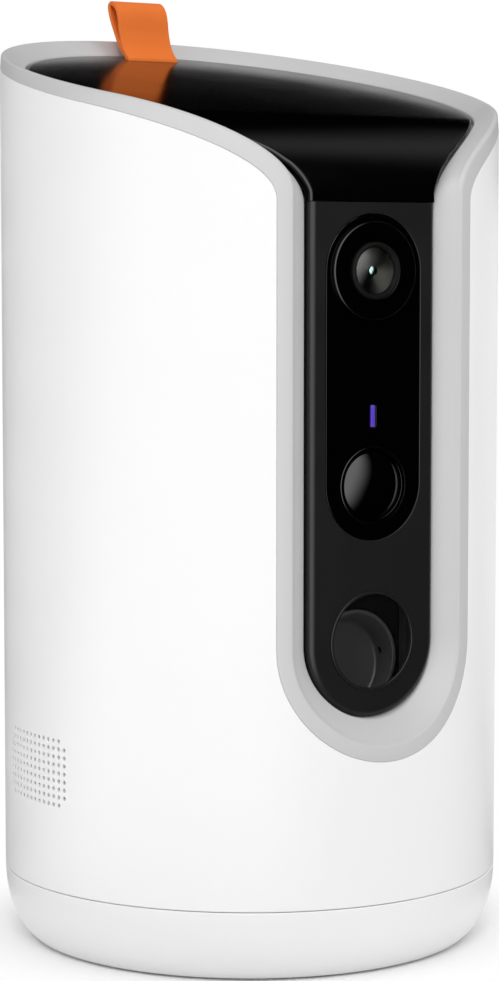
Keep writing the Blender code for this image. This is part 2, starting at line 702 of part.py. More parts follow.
def front_carrier():
    """Upright frame behind the panel that holds the front boards and clears the launcher."""
    outline = [(-21, 20.7), (21, 20.7), (21, 176), (-21, 176)]
    holes = [circle((0, LENS_Z), 7.4, 20), circle((0, SENSOR_Z), 4.8, 16),
             stadium(0.9, LIGHT_Z - 3.0, LIGHT_Z + 3.0, 4),
             [(-13.4, 60.0), (13.4, 60.0), (13.4, 90.5), (-13.4, 90.5)]]
    carrier = plate("front_carrier", [outline, *holes], (-48.6, -46.1), "FRONT", "dark_grey")
    weld(carrier, block("carrier_foot", (-21, 21), (-47, -40), (20.7, 23.2)))


def front_panel():
    """Dark panel with rounded edges, a stadium pocket and the treat outlet."""
    edge, steps = 2.0, 3
    outlines = [(PANEL_FACE_Y + PANEL_THICK, PANEL_HALF)]
    for i in range(steps + 1):
        a = math.radians(90 * i / steps)
        outlines.append((PANEL_FACE_Y + edge * (1 - math.sin(a)), PANEL_HALF - edge * (1 - math.cos(a))))
    stations = [[(x, y, z) for x, z in tongue(half, OPENING_Z, PANEL_TOP_Z)] for y, half in outlines]
    panel = loft("front_panel", stations, "satin_black", closed=False)
    pocket = stadium(INSET_HALF + GAP, INSET_BOTTOM_Z - GAP, INSET_TOP_Z + GAP, 12)
    cut(panel, plate("inset_pocket", [pocket], (PANEL_FACE_Y - 2, -51.2), "FRONT"))
    cut(panel, rod("lens_way", "Y", -56, -48, (0, LENS_Z), 9.8, None, 20),
        rod("sensor_way", "Y", -56, -48, (0, SENSOR_Z), 8.4, None, 20),
        plate("light_way", [stadium(0.9, LIGHT_Z - 3.0, LIGHT_Z + 3.0, 4)], (-56, -48), "FRONT"),
        rod("outlet", "Y", -56, -48, (0, OUTLET_Z), OUTLET_RADIUS, None, 28))


def panel_fittings():
    """Everything that sits in the panel's pocket, and the boards behind."""
    stadium_plate = stadium(INSET_HALF, INSET_BOTTOM_Z, INSET_TOP_Z, 12)
    plate("panel_inset", [stadium_plate, circle((0, LENS_Z), 11.6, 24), circle((0, SENSOR_Z), 9.5, 20),
                          stadium(0.8, LIGHT_Z - 2.85, LIGHT_Z + 2.85, 4)],
          (INSET_FACE_Y, -51.5), "FRONT", "gloss_black")
    about_y = (math.pi / 2, 0, 0)
    turned("camera_ring", [(7.2, 51.8), (7.2, 51.5), (11.3, 51.5), (11.3, 53.4), (11.0, 53.7), (10.6, 53.7),
                           (7.2, 52.6)][::-1], "gloss_black", (0, 0), 24, tilt=about_y, height=LENS_Z)
    turned("lens_barrel", [(6.3, 54.2), (6.9, 53.6), (6.9, 46.0), (5.6, 46.0), (5.6, 52.2), (5.3, 54.2)],
           "satin_black", (0, 0), 20, tilt=about_y, height=LENS_Z)
    turned("lens_glass", [(0, 53.9), (2.6, 53.5), (4.2, 52.8), (5.2, 51.7), (5.2, 50.8), (0, 50.8)],
           "glass", (0, 0), 20, ring=False, tilt=about_y, height=LENS_Z)
    turned("sensor_ring", [(9.0, 54.1), (9.2, 53.9), (9.2, 52.6), (8.5, 52.6), (8.5, 54.0)],
           "gloss_black", (0, 0), 24, tilt=about_y, height=SENSOR_Z)
    dome = [(0, 55.7), (2.8, 55.45), (5.4, 54.7), (7.3, 53.7), (8.1, 52.9), (8.1, 52.3), (9.0, 52.3),
            (9.0, 51.6), (7.3, 51.6), (7.3, 52.7), (4.0, 54.1), (0, 54.7)]
    turned("sensor_dome", dome, "gloss_black", (0, 0), 20, ring=False, tilt=about_y, height=SENSOR_Z)
    turned("sensor_can", [(0, 50.6), (3.9, 50.6), (3.9, 46.5), (4.4, 46.5), (4.4, 45.9), (0, 45.9)],
           "steel", (0, 0), 14, ring=False, tilt=about_y, height=SENSOR_Z)
    plate("light_pipe", [stadium(0.5, LIGHT_Z - 2.55, LIGHT_Z + 2.55, 4)], (-53.8, -46.0), "FRONT", "indigo")
    camera = block("camera_board", (-13, 13), (-45.7, -44.5), (150, 174), "board")
    weld(camera, block("camera_chip", (-5, 5), (-44.7, -43.6), (160, 170)))
    sensor = block("sensor_board", (-11, 11), (-45.7, -44.5), (104.5, 138), "board")
    weld(sensor, block("sensor_chip", (-3, 3), (-44.7, -43.6), (124, 130)))
    rod("microphone", "Y", -44.2, -42.9, (9, 153), 2.4, "steel", 12)


def toothed_edge(centre, teeth, first, count):
    """Involute teeth with a little play, as (y, z); first is the first tooth's middle, in degrees."""
    pitch = 0.5 * GEAR_MODULE * teeth
    base_circle = pitch * math.cos(math.radians(PRESSURE_ANGLE))
    root, tip = pitch - 1.2 * GEAR_MODULE, pitch + 0.85 * GEAR_MODULE
    lean = math.radians(PRESSURE_ANGLE)
    at_base = math.pi / (2 * teeth) - 0.5 * GEAR_PLAY / pitch + math.tan(lean) - lean
    lean = math.acos(base_circle / tip)
    at_tip = at_base - (math.tan(lean) - lean)
    flank = [(root, at_base), (max(root + 0.05, base_circle), at_base), (tip, at_tip)]
    points = []
    for tooth in range(count):
        middle = math.radians(first) + 2 * math.pi * tooth / teeth
        points += [(r, middle - half) for r, half in flank]
        points += [(r, middle + half) for r, half in reversed(flank)]
    return [(centre[0] + r * math.cos(a), centre[1] + r * math.sin(a)) for r, a in points]


def launch_gears(pivot, motor_centre):
    """Gear sector on the arm's axle, toothed only where it meets the pinion, and the pinion."""
    step = 360 / ARM_TEETH
    last = SECTOR_FIRST + step * (SECTOR_TEETH - 1)
    fan = toothed_edge(pivot, ARM_TEETH, SECTOR_FIRST, SECTOR_TEETH)
    fan += arc(pivot, HUB_RADIUS, last + 25, SECTOR_FIRST - 25 + 360, 12)
    sector = plate("arm_gear", [fan, circle(pivot, AXLE_RADIUS + GAP, 12)], GEAR_X, "SIDE", "natural")
    gap_first = 180 + 180 / PINION_TEETH
    teeth = toothed_edge(motor_centre, PINION_TEETH, gap_first, PINION_TEETH)
    bore = circle(motor_centre, AXLE_RADIUS + GAP, 10)
    return sector, plate("drive_pinion", [teeth, bore], GEAR_X, "SIDE", "natural")


def launch_scoop(pivot):
    """Cup, arm and hub in one moulding: the mouth faces the outlet, and the cup dips behind it."""
    wall, corner = CUP_WALL, CUP_CORNER
    back = CUP_FRONT_Y + CUP_DEPTH + 2 * wall
    rings = [(CUP_RADIUS - corner, back), (CUP_RADIUS, back - corner), (CUP_RADIUS, CUP_FRONT_Y),
             (CUP_RADIUS - wall, CUP_FRONT_Y), (CUP_RADIUS - wall, CUP_FRONT_Y + CUP_DEPTH - corner),
             (CUP_RADIUS - wall - corner, CUP_FRONT_Y + CUP_DEPTH)]
    stations = []
    for radius, y in rings:
        middle = (0, CUP_Z - CUP_DIP * (y - CUP_FRONT_Y))
        stations.append([(x, y, z) for x, z in circle(middle, radius, CUP_SIDES)])
    cup = loft("launch_scoop", stations, "mid_grey", closed=False)
    arm = [(-28.3, 43.2), (-39.4, 60.5), (-39.4, 74.5), (-35.8, 76.0), (-20.6, 46.2)]
    weld(cup, plate("arm_web", [arm], (-3.2, 3.2), "SIDE"),
         rod("arm_hub", "X", -6.5, 13.2, pivot, HUB_RADIUS, None, 16),
         rod("spring_seat", "X", -13.2, -6.0, pivot, 3.3, None, 12))
    cut(cup, rod("hub_bore", "X", -15, 15, pivot, AXLE_RADIUS + GAP, None, 12),
        rod("drain_hole", "X", 5, 14, (CUP_FRONT_Y + 5.1, CUP_Z + 0.9), 0.7, None, 8))
    return cup


def launcher():
    """Scoop on its axle, driven through a gear pair by the motor beside it."""
    pivot = (PIVOT_Y, PIVOT_Z)
    motor_centre = (PIVOT_Y + 0.5 * GEAR_MODULE * (ARM_TEETH + PINION_TEETH), PIVOT_Z)
    sector, pinion = launch_gears(pivot, motor_centre)
    axle = rod("launch_axle", "X", -17.6, 22.0, pivot, AXLE_RADIUS, "steel", 12)
    shaft = rod("motor_shaft", "X", 13.2, 20.9, motor_centre, AXLE_RADIUS, "steel", 12)
    joint_axis("launch_pivot", (0, *pivot), launch_scoop(pivot), axle, sector)
    joint_axis("pinion_axis", (0, *motor_centre), pinion, shaft)
    motor = rod("launch_motor", "X", 21.2, 44.0, motor_centre, 8.5, "steel", 24)
    weld(motor, rod("motor_end_cap", "X", 43.0, 46.0, motor_centre, 5.0, None, 16))
    launch_bracket(pivot, motor_centre)
    launch_spring(pivot)


def launch_bracket(pivot, motor_centre):
    """Base plate and two cheeks that carry the axle and the motor."""
    cheek = [(-31, 22.0), (6, 22.0), (6, 50), (2, 53), (-20, 53), (-28, 50), (-31, 44)]
    bracket = block("launch_bracket", (-16.2, 20.8), (-31, 6), (20.7, 22.8), "dark_grey")
    weld(bracket, plate("left_cheek", [cheek], (-16.2, -13.6), "SIDE"),
         plate("right_cheek", [cheek], (18.2, 20.8), "SIDE"))
    cut(bracket, rod("axle_way", "X", -20, 24, pivot, AXLE_RADIUS + GAP, None, 12),
        rod("motor_way", "X", 17, 24, motor_centre, 2.4, None, 12),
        rod("cheek_window", "X", 17, 24, (-10, 31), 5.0, None, 16))


def launch_spring(pivot):
    """Torsion spring wound round the end of the hub."""
    turns, points_a_turn, mean, wire = 4, 8, 4.2, 0.45
    first_x, last_x = -12.7, -7.3
    curve = bpy.data.curves.new("launch_spring", "CURVE")
    curve.dimensions = "3D"
    curve.bevel_depth = wire * MM
    curve.bevel_resolution = 1
    curve.use_fill_caps = True
    count = turns * points_a_turn + 1
    spline = curve.splines.new("POLY")
    spline.points.add(count - 1)
    for i, point in enumerate(spline.points):
        a = 2 * math.pi * i / points_a_turn
        x = first_x + (last_x - first_x) * i / (count - 1)
        y, z = pivot[0] + mean * math.cos(a), pivot[1] + mean * math.sin(a)
        point.co = (x * MM, y * MM, z * MM, 1)
    obj = bpy.data.objects.new("launch_spring", curve)
    bpy.context.scene.collection.objects.link(obj)
    return file_away(obj, "steel")


def electronics():
    """Main board, power inlet, reset button and switch, speaker and its holder."""
    board = block("main_board", (-27, 27), (44.0, 45.6), (20.7, 88), "board")
    weld(board, block("processor_can", (-12, 8), (41.8, 44.2), (56, 74)),
         block("memory_chip", (12, 22), (42.6, 44.2), (60, 70)),
         block("ribbon_socket", (-20, -2), (41.0, 44.2), (80, 84)),
         block("motor_socket", (10, 20), (40.0, 44.2), (34, 40)))
    outer = slot_outline(4.6, 1.7, INLET_Z)
    inlet = plate("power_inlet", [outer], (45.9, 60.8), "FRONT", "steel")
    mouth = plate("inlet_mouth", [slot_outline(4.2, 1.3, INLET_Z)], (54.5, 64), "FRONT")
    cut(inlet, mouth)
    weld(inlet, block("inlet_blade", (-3.2, 3.2), (53.5, 59.6), (INLET_Z - 0.35, INLET_Z + 0.35)))
    switch = block("reset_switch", (-3, 3), (45.9, 48.6), (BUTTON_Z - 3, BUTTON_Z + 3), "dark_grey")
    weld(switch, rod("switch_plunger", "Y", 48.0, 49.4, (0, BUTTON_Z), 1.6, None, 16))
    turned("reset_button", [(0, -50.3), (1.5, -50.3), (1.5, -57.5), (3.4, -57.5), (3.4, -58.5), (2.4, -58.5),
                            (2.4, -60.9), (2.0, -61.2), (0, -61.2)], "white", (0, 0), 14, ring=False,
           tilt=(math.pi / 2, 0, 0), height=BUTTON_Z)
    about_x = (0, -math.pi / 2, 0)
    speaker = [(0, 49.2), (8.0, 50.0), (12.2, 54.6), (12.8, 55.2), (13.8, 55.2), (13.8, 53.4), (9.5, 49.6),
               (9.5, 43.0), (0, 43.0)]
    turned("speaker", speaker, "cone", (0, 0), 18, ring=False, tilt=about_x, height=SPEAKER_Z)
    holder = block("speaker_holder", (-55.9, -46.5), (-17, 17), (20.7, 63), "dark_grey")
    cut(holder, rod("speaker_way", "X", -60, -44, (0, SPEAKER_Z), 14.1, None, 24))


def build():
    base()
    decks()
    outer_shell()
    trim_ring()
    front_carrier()
    front_panel()
    panel_fittings()
    treat_store()
    store_collar()
    dispense_rotor()
    rotor_drive()
    lid()
    lid_seal()
    pull_tab()
    launcher()
    electronics()


clear_scene()
PRODUCT = new_collection("pet_camera")
TOOLS = new_collection("tool_shapes")
build()
bpy.context.view_layer.update()
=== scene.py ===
# Looks for the treat-tossing pet camera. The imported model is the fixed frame: what shows most
# is rebuilt here as smooth, finely rounded pieces on the same sizes, and the rest gets materials.
# Lengths are in millimetres up to the piece function, which turns them into metres.

import json
import math

import bmesh
import bpy
from mathutils import Matrix, Vector


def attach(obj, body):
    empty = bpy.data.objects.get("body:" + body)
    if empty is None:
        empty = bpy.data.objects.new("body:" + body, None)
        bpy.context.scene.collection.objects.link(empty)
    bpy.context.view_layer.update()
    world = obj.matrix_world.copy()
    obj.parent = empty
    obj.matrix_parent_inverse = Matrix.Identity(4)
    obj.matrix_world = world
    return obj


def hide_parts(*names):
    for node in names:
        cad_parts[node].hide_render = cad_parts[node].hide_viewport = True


MM = 0.001
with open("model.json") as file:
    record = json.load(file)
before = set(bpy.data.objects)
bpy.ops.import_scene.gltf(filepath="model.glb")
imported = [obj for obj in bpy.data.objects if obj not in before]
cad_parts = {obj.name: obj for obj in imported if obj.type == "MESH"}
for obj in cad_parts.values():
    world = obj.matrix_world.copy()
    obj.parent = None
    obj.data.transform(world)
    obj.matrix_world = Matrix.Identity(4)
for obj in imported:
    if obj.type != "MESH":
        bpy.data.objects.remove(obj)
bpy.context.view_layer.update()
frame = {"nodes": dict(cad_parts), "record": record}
nodes = frame["nodes"]

# Drum
BODY_RADIUS = 61.5
WALL = 2.5
SEAM_Z = 17.7
SEAM_GAP = 0.2
EDGE = 0.2
LIP_GAP = 0.05
LIP_EDGE = 0.1
FOOT_RADIUS = 55.0
BASE_SCREW_ORBIT = 38.0
BASE_SCREW_TURNS = (90, 210, 330)
SCREW_BORE = 1.9
SCREW_HEAD = 3.5
BOSS_RADIUS = 4.5
BOSS_TOP = 17.4

# Slanted rim and front opening
RIM_Z = 212.4
RIM_SLOPE = 0.222
OPENING_HALF = 27.2
OPENING_Z = 78.6
LIP_SKIRT_Z = 177.0
# Rim lines: radius, drop, half-width, flat_y, run, foot z, and how far its corner is rounded
LIP_OUTER = (BODY_RADIUS, 3.6, OPENING_HALF, None, 33.7, 181.8)
LIP_INNER = (55.35, 3.0, 17.9, None, 22.0, 180.6)
LIP_LINES = [
    (LIP_OUTER, 0.2),
    ((61.25, 0.4, 23.7, None, 29.3, 183.6), 0.9),
    ((60.5, 0.0, 23.1, None, 28.3, 184.0), 0.5),
    ((59.7, 0.35, 22.4, None, 27.5, 183.4), 1.2),
    (LIP_INNER, 0.6),
    ((55.35, 5.9, 17.9, -50.0, 20.5, 180.0), 0.3),
    ((52.5, 5.9, 16.8, -50.0, 20.0, 180.0), 0.1),
]

# Front panel
PANEL_HALF = 17.6
PANEL_FACE_Y = -54.3
PANEL_BACK_Y = -50.3
PANEL_TOP_Z = 181.42
PANEL_ROUND = 1.7
INSET_HALF = 13.15
INSET_TOP_Z = 178.7
INSET_BOTTOM_Z = 102.8
INSET_FACE_Y = -54.27
LENS_Z = 165.6
LIGHT_Z = 131.8
SENSOR_Z = 115.6
OUTLET_Z = 79.0
OUTLET_RADIUS = 11.7
# How far the front of each stands from the drum's axis
LENS_RING_FRONT = 55.2
BARREL_FRONT = 55.9
GLASS_FRONT = 55.75
DOME_FRONT = 56.2
BEAD_FRONT = 54.65

# Lid
LID_RADIUS = 54.9
LID_DROP = 3.0
LID_THICK = 2.6
LID_RUN = 25.8
LID_FOOT_Z = 181.5
LID_ROUND = 0.7
STRAP_HALF = 7.45
STRAP_Y = 48.5
STORE_Y = 2.5
SKIRT_OUTER = 40.9
SKIRT_INNER = 39.7

# Side and rear of the drum
SPEAKER_Z = 46.6
SPEAKER_COLUMNS = 14
SPEAKER_ROWS = 9
SPEAKER_PITCH_DEG = 1.9
SPEAKER_PITCH_Z = 1.93
SPEAKER_HOLE = 0.55
INLET_Z = 30.0
INLET_HALF = 2.8
INLET_ROUND = 2.2
BUTTON_Z = 42.0
BUTTON_HOLE = 2.7

# Launcher
PIVOT = (-24.0, 44.0)
CUP_Z = 73.7
CUP_RADIUS = 11.9
CUP_WALL = 0.9
CUP_CORNER = 1.1
CUP_DEPTH = 6.9
CUP_DIP = 0.36
CUP_FRONT_Y = -46.9


# Materials

# Noise scales, in cells per metre, for a surface's changes of tone and of gloss
TONE_SCALE = 28
GLOSS_SCALE = 60


def put(tree, socket, value):
    """Links a node's output to a socket, or sets the socket to a number or a colour."""
    if isinstance(value, bpy.types.NodeSocket):
        tree.links.new(value, socket)
    else:
        socket.default_value = value


def wired(tree, node, **inputs):
    """A node with its inputs filled; _ stands for a space in an input's name."""
    for name, value in inputs.items():
        put(tree, node.inputs[name.replace("_", " ")], value)
    return node


def new_node(tree, kind, output, **inputs):
    """An output of a new shader node."""
    return wired(tree, tree.nodes.new("ShaderNode" + kind), **inputs).outputs[output]


def nodes_of(name):
    """A new material with its node tree and its Principled shader."""
    mat = bpy.data.materials.new(name)
    mat.use_nodes = True
    tree = mat.node_tree
    return mat, tree, tree.nodes["Principled BSDF"]


def object_place(tree):
    return new_node(tree, "TexCoord", "Object")


def math_node(tree, operation, *values):
    """A Math node whose inputs are numbers or other nodes' outputs."""
    node = tree.nodes.new("ShaderNodeMath")
    node.operation = operation
    for socket, value in zip(node.inputs, values):
        put(tree, socket, value)
    return node.outputs["Value"]


def vector_node(tree, operation, output, value):
    """An output of a Vector Math node with one input."""
    node = tree.nodes.new("ShaderNodeVectorMath")
    node.operation = operation
    put(tree, node.inputs[0], value)
    return node.outputs[output]


def noise(tree, scale, detail=3.0, stretch=None):
    """Noise in the object's own space, which a stretch can draw out along an axis."""
    place = object_place(tree)
    if stretch:
        place = new_node(tree, "Mapping", "Vector", Scale=stretch, Vector=place)
    return new_node(tree, "TexNoise", "Fac", Scale=scale, Detail=detail, Vector=place)


def spread(tree, value, low, high, start=0.3, end=0.7, soft=False):
    """Maps a value's range from start to end onto low to high."""
    node = tree.nodes.new("ShaderNodeMapRange")
    if soft:
        node.interpolation_type = "SMOOTHSTEP"
    wired(tree, node, Value=value, From_Min=start, From_Max=end, To_Min=low, To_Max=high)
    return node.outputs["Result"]


def blend_colours(tree, value, first, second):
    """A mix of two colours, each given as red, green and blue or as another node's output."""
    node = tree.nodes.new("ShaderNodeMix")
    node.data_type = "RGBA"
    first, second = [(*c, 1.0) if isinstance(c, tuple) else c for c in (first, second)]
    return wired(tree, node, A=first, B=second, Factor=value).outputs["Result"]


def mix_shaders(tree, share, first, second):
    node = tree.nodes.new("ShaderNodeMixShader")
    for socket, value in zip(node.inputs, (share, first, second)):
        put(tree, socket, value)
    return node.outputs["Shader"]


def bump(tree, height, depth_mm, strength=1.0):
    return new_node(tree, "Bump", "Normal", Strength=strength, Distance=depth_mm * MM, Height=height)


def moulded(name, colour, roughness, grain=3500, depth=0.006, metallic=0.0, shade=0.05, stretch=None,
            specular=0.5):
    """Moulded or machined surface: fine grain, uneven gloss and a slight change of tone."""
    mat, tree, shader = nodes_of(name)
    darker = tuple(c * (1 - shade) for c in colour)
    wired(tree, shader, Base_Color=blend_colours(tree, noise(tree, TONE_SCALE, 2.0), colour, darker),
          Roughness=spread(tree, noise(tree, GLOSS_SCALE, 4.0), roughness * 0.88, roughness * 1.12),
          Normal=bump(tree, noise(tree, grain, 2.0, stretch), depth),
          Metallic=metallic, Specular_IOR_Level=specular)
    return mat


def smoked():
    mat, tree, shader = nodes_of("smoked_plastic")
    colour = blend_colours(tree, noise(tree, 30, 2.0), (0.30, 0.30, 0.32), (0.26, 0.26, 0.28))
    wired(tree, shader, Base_Color=colour, Roughness=spread(tree, noise(tree, 80), 0.12, 0.2),
          Normal=bump(tree, noise(tree, 2500), 0.003), Transmission_Weight=0.45, IOR=1.49)
    return mat


def webbing():
    """Coated strap with a fine weave under a soft, slightly waxy face."""
    mat, tree, shader = nodes_of("strap_webbing")
    weave = []
    for direction in ("X", "Z"):
        wave = tree.nodes.new("ShaderNodeTexWave")
        wave.wave_type = "BANDS"
        wave.bands_direction = direction
        wired(tree, wave, Scale=560, Distortion=0.3, Vector=object_place(tree))
        weave.append(wave.outputs["Fac"])
    colour = blend_colours(tree, noise(tree, 90), (0.82, 0.18, 0.018), (0.76, 0.16, 0.014))
    wired(tree, shader, Base_Color=colour, Roughness=spread(tree, noise(tree, 200), 0.46, 0.6),
          Normal=bump(tree, math_node(tree, "MULTIPLY", *weave), 0.012, 0.3),
          Specular_IOR_Level=0.25, Sheen_Weight=0.05)
    return mat


def board():
    mat, tree, shader = nodes_of("circuit_board")
    tracks = new_node(tree, "TexBrick", "Color", Scale=90, Mortar_Size=0.04, Color1=(0.012, 0.11, 0.05, 1),
                      Color2=(0.015, 0.13, 0.06, 1), Mortar=(0.03, 0.20, 0.09, 1), Vector=object_place(tree))
    wired(tree, shader, Base_Color=tracks, Roughness=spread(tree, noise(tree, 300), 0.3, 0.45))
    return mat


def lens_glass():
    mat, tree, shader = nodes_of("lens_glass")
    colour = blend_colours(tree, noise(tree, 60), (0.97, 0.98, 0.97), (0.94, 0.96, 0.95))
    wired(tree, shader, Base_Color=colour, Roughness=spread(tree, noise(tree, 200), 0.0, 0.02),
          Transmission_Weight=1.0, IOR=1.45)
    return mat


def lens_cone():
    """Turned metal behind the glass: its fine grooves draw a highlight out across the middle."""
    mat, tree, shader = nodes_of("lens_cone")
    tangent = tree.nodes.new("ShaderNodeTangent")
    tangent.direction_type = "RADIAL"
    tangent.axis = "Y"
    colour = blend_colours(tree, noise(tree, 300), (0.10, 0.098, 0.09), (0.088, 0.086, 0.08))
    wired(tree, shader, Base_Color=colour, Roughness=spread(tree, noise(tree, 400), 0.5, 0.56),
          Metallic=1.0, Anisotropic=1.0, Anisotropic_Rotation=0.34, Tangent=tangent.outputs["Tangent"])
    return mat


def coated_glass():
    """The small element in the middle of the lens, with a green-blue coating."""
    mat, tree, shader = nodes_of("coated_glass")
    colour = blend_colours(tree, noise(tree, 500), (0.24, 0.34, 0.32), (0.20, 0.31, 0.29))
    wired(tree, shader, Base_Color=colour, Roughness=spread(tree, noise(tree, 300), 0.03, 0.06),
          Metallic=1.0, Coat_Weight=1.0)
    return mat


def status_light():
    """Light pipe that glows indigo, whiter at its two ends."""
    mat, tree, shader = nodes_of("status_light")
    height = new_node(tree, "SeparateXYZ", "Z", Vector=object_place(tree))
    away = math_node(tree, "ABSOLUTE", math_node(tree, "SUBTRACT", height, LIGHT_Z * MM))
    ends = spread(tree, away, 0.0, 1.0, 0.0019, 0.0026)
    wired(tree, shader, Emission_Color=blend_colours(tree, ends, (0.058, 0.018, 0.43), (0.12, 0.08, 0.42)),
          Base_Color=(0.05, 0.03, 0.2, 1), Emission_Strength=0.68, Roughness=0.3)
    return mat


def materials():
    return {
        "white": moulded("white_plastic", (0.90, 0.90, 0.898), 0.36, depth=0.003, shade=0.01, specular=0.35),
        "light_grey": moulded("lip_plastic", (0.57, 0.57, 0.574), 0.42, depth=0.005, shade=0.02),
        "gloss_black": moulded("piano_black", (0.0006, 0.0006, 0.0006), 0.06, grain=900, depth=0.0005,
                               shade=0.2, specular=0.45),
        "lid_black": moulded("lid_black", (0.0006, 0.0006, 0.0006), 0.15, grain=900, depth=0.0005,
                             shade=0.2, specular=0.4),
        "satin_black": moulded("satin_black", (0.0095, 0.0095, 0.0098), 0.34, grain=2600, depth=0.008,
                               shade=0.15, stretch=(0.12, 1.0, 1.0), specular=0.3),
        "dark_grey": moulded("dark_plastic", (0.02, 0.02, 0.021), 0.48, depth=0.012, shade=0.1),
        "mid_grey": moulded("mid_grey_plastic", (0.30, 0.30, 0.31), 0.5, depth=0.012, shade=0.06),
        # The scoop is mid grey plastic; this much darker colour is painted shade, standing in for the shade
        # inside the outlet's recess.
        "scoop": moulded("scoop_plastic_painted_shade", (0.062, 0.062, 0.064), 0.32, depth=0.008, shade=0.05),
        "natural": moulded("natural_plastic", (0.72, 0.70, 0.64), 0.45, depth=0.01, shade=0.05),
        "smoke": smoked(),
        "rubber": moulded("rubber", (0.03, 0.03, 0.03), 0.82, grain=2200, depth=0.03, shade=0.15),
        "silicone": moulded("silicone", (0.55, 0.56, 0.58), 0.58, depth=0.01, shade=0.04),
        "strap": webbing(),
        "board": board(),
        "steel": moulded("turned_steel", (0.60, 0.60, 0.61), 0.28, grain=1800, depth=0.006, metallic=1.0,
                         stretch=(1.0, 1.0, 0.1)),
        "weight": moulded("cast_weight", (0.16, 0.16, 0.165), 0.62, grain=900, depth=0.05, metallic=0.8,
                          shade=0.2),
        "motor": moulded("motor_can", (0.50, 0.50, 0.52), 0.35, grain=2000, depth=0.005, metallic=1.0),
        "barrel": moulded("lens_barrel_black", (0.006, 0.006, 0.006), 0.5, grain=2600, shade=0.15,
                          specular=0.06),
        "lens": lens_glass(),
        "lens_cone": lens_cone(),
        "coated": coated_glass(),
        "indigo": status_light(),
        "cone": moulded("paper_cone", (0.035, 0.035, 0.035), 0.75, grain=1500, depth=0.04, shade=0.2),
    }


def dress(node, mat):
    """Gives a CAD node its material."""
    mesh = nodes[node].data
    mesh.materials.clear()
    mesh.materials.append(mat)


# Mesh helpers

def placed(name, data):
    """A new object in the scene."""
    obj = bpy.data.objects.new(name, data)
    bpy.context.scene.collection.objects.link(obj)
    return obj


def mesh_of(name, cage):
    """Turns a cage, which it uses up, into a mesh whose faces look outwards."""
    mesh = bpy.data.meshes.new(name)
    bmesh.ops.recalc_face_normals(cage, faces=cage.faces)
    cage.to_mesh(mesh)
    cage.free()
    return mesh


def piece(name, cage, mat, body, slot, *stands_for, angle=35, rule=None, weighted=False):
    """Turns a bmesh in millimetres into a finished piece that rides on a body.

    A rule gives each face corner its normal from the corner's place and its face's normal, and
    weighted makes large flat faces keep theirs where they meet narrow ones.
    """
    mesh = mesh_of(name, cage)
    mesh.transform(Matrix.Scale(MM, 4))
    mesh.shade_smooth()
    mesh.set_sharp_from_angle(angle=math.radians(angle))
    obj = placed(name, mesh)
    mesh.materials.append(mat)
    if rule:
        normals = [None] * len(mesh.loops)
        for face in mesh.polygons:
            for corner in face.loop_indices:
                normals[corner] = rule(mesh.vertices[mesh.loops[corner].vertex_index].co, face.normal)
        mesh.normals_split_custom_set(normals)
    if weighted:
        mod = obj.modifiers.new("normals", "WEIGHTED_NORMAL")
        mod.keep_sharp = True
        bpy.context.view_layer.update()
        graph = bpy.context.evaluated_depsgraph_get()
        obj.data = bpy.data.meshes.new_from_object(obj.evaluated_get(graph))
        obj.data.name = name
        obj.modifiers.clear()
        bpy.data.meshes.remove(mesh)
    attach(obj, body)
    if stands_for:
        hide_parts(*stands_for)
    return obj


def carved(cage, *cutters):
    """A cage less some closed cages, which are all used up."""
    solids = [placed("solid", mesh_of("solid", source)) for source in (cage, *cutters)]
    for tool in solids[1:]:
        mod = solids[0].modifiers.new("cut", "BOOLEAN")
        mod.operation = "DIFFERENCE"
        mod.solver = "EXACT"
        mod.object = tool
    bpy.context.view_layer.update()
    result = bmesh.new()
    result.from_object(solids[0], bpy.context.evaluated_depsgraph_get())
    for solid in solids:
        mesh = solid.data
        bpy.data.objects.remove(solid, do_unlink=True)
        bpy.data.meshes.remove(mesh)
    return result


def ring_faces(cage, first, second):
    """Faces between two closed rows of vertices, left out where both have a shared one."""
    for i in range(len(first)):
        j = (i + 1) % len(first)
        if first[i] is not first[j]:
            cage.faces.new((first[i], first[j], second[j], second[i]))


def loft(stations, closed):
    """Joins outlines with equal numbers of points: round in a ring, or as a stack with ends."""
    cage = bmesh.new()
    rings = [[cage.verts.new(point) for point in station] for station in stations]
    followers = rings[1:] + rings[:1] if closed else rings[1:]
    for here, there in zip(rings, followers):
        ring_faces(cage, here, there)
    if not closed:
        cage.faces.new(rings[0])
        cage.faces.new(rings[-1])
    return cage


def turned(profile, centre=(0, 0, 0), axis="Z", sides=96):
    """Turns (radius, height) points about an axis; a radius of 0 closes an end.

    Heights along axis Y run towards -Y, out of the front of the drum.
    """
    cage = bmesh.new()
    rings = []
    for radius, height in profile:
        turns = [2 * math.pi * i / sides for i in range(sides)] if radius else [0]
        spots = [(radius * math.cos(a), radius * math.sin(a), height) for a in turns]
        if axis == "Y":
            spots = [(x, -z, y) for x, y, z in spots]
        if axis == "X":
            spots = [(z, x, y) for x, y, z in spots]
        rings.append([cage.verts.new(Vector(spot) + Vector(centre)) for spot in spots])
    for here, there in zip(rings, rings[1:]):
        if len(here) > 1 and len(there) > 1:
            ring_faces(cage, here, there)
            continue
        for i in range(sides):
            k = (i + 1) % sides
            cage.faces.new((here[0], there[k], there[i]) if len(here) == 1 else (here[i], here[k], there[0]))
    return cage


def ring_of(profile, reaches=None, **options):
    """As turned, for a profile that comes back to its start; reaches round its corners."""
    if reaches is not None:
        profile = rounded(profile, reaches)[:-1]
    cage = turned([*profile, profile[0]], **options)
    bmesh.ops.remove_doubles(cage, verts=cage.verts, dist=0.0002)
    return cage


def rod(centre, axis, start, end, radius, sides=32):
    """A cage of a plain round bar."""
    return turned([(0, start), (radius, start), (radius, end), (0, end)], centre, axis, sides)


def block(x, y, z):
    """A cage of a box between two x, two y and two z values."""
    corners = [(x[0], y[0]), (x[1], y[0]), (x[1], y[1]), (x[0], y[1])]
    return loft([[(*corner, height) for corner in corners] for height in z], closed=False)


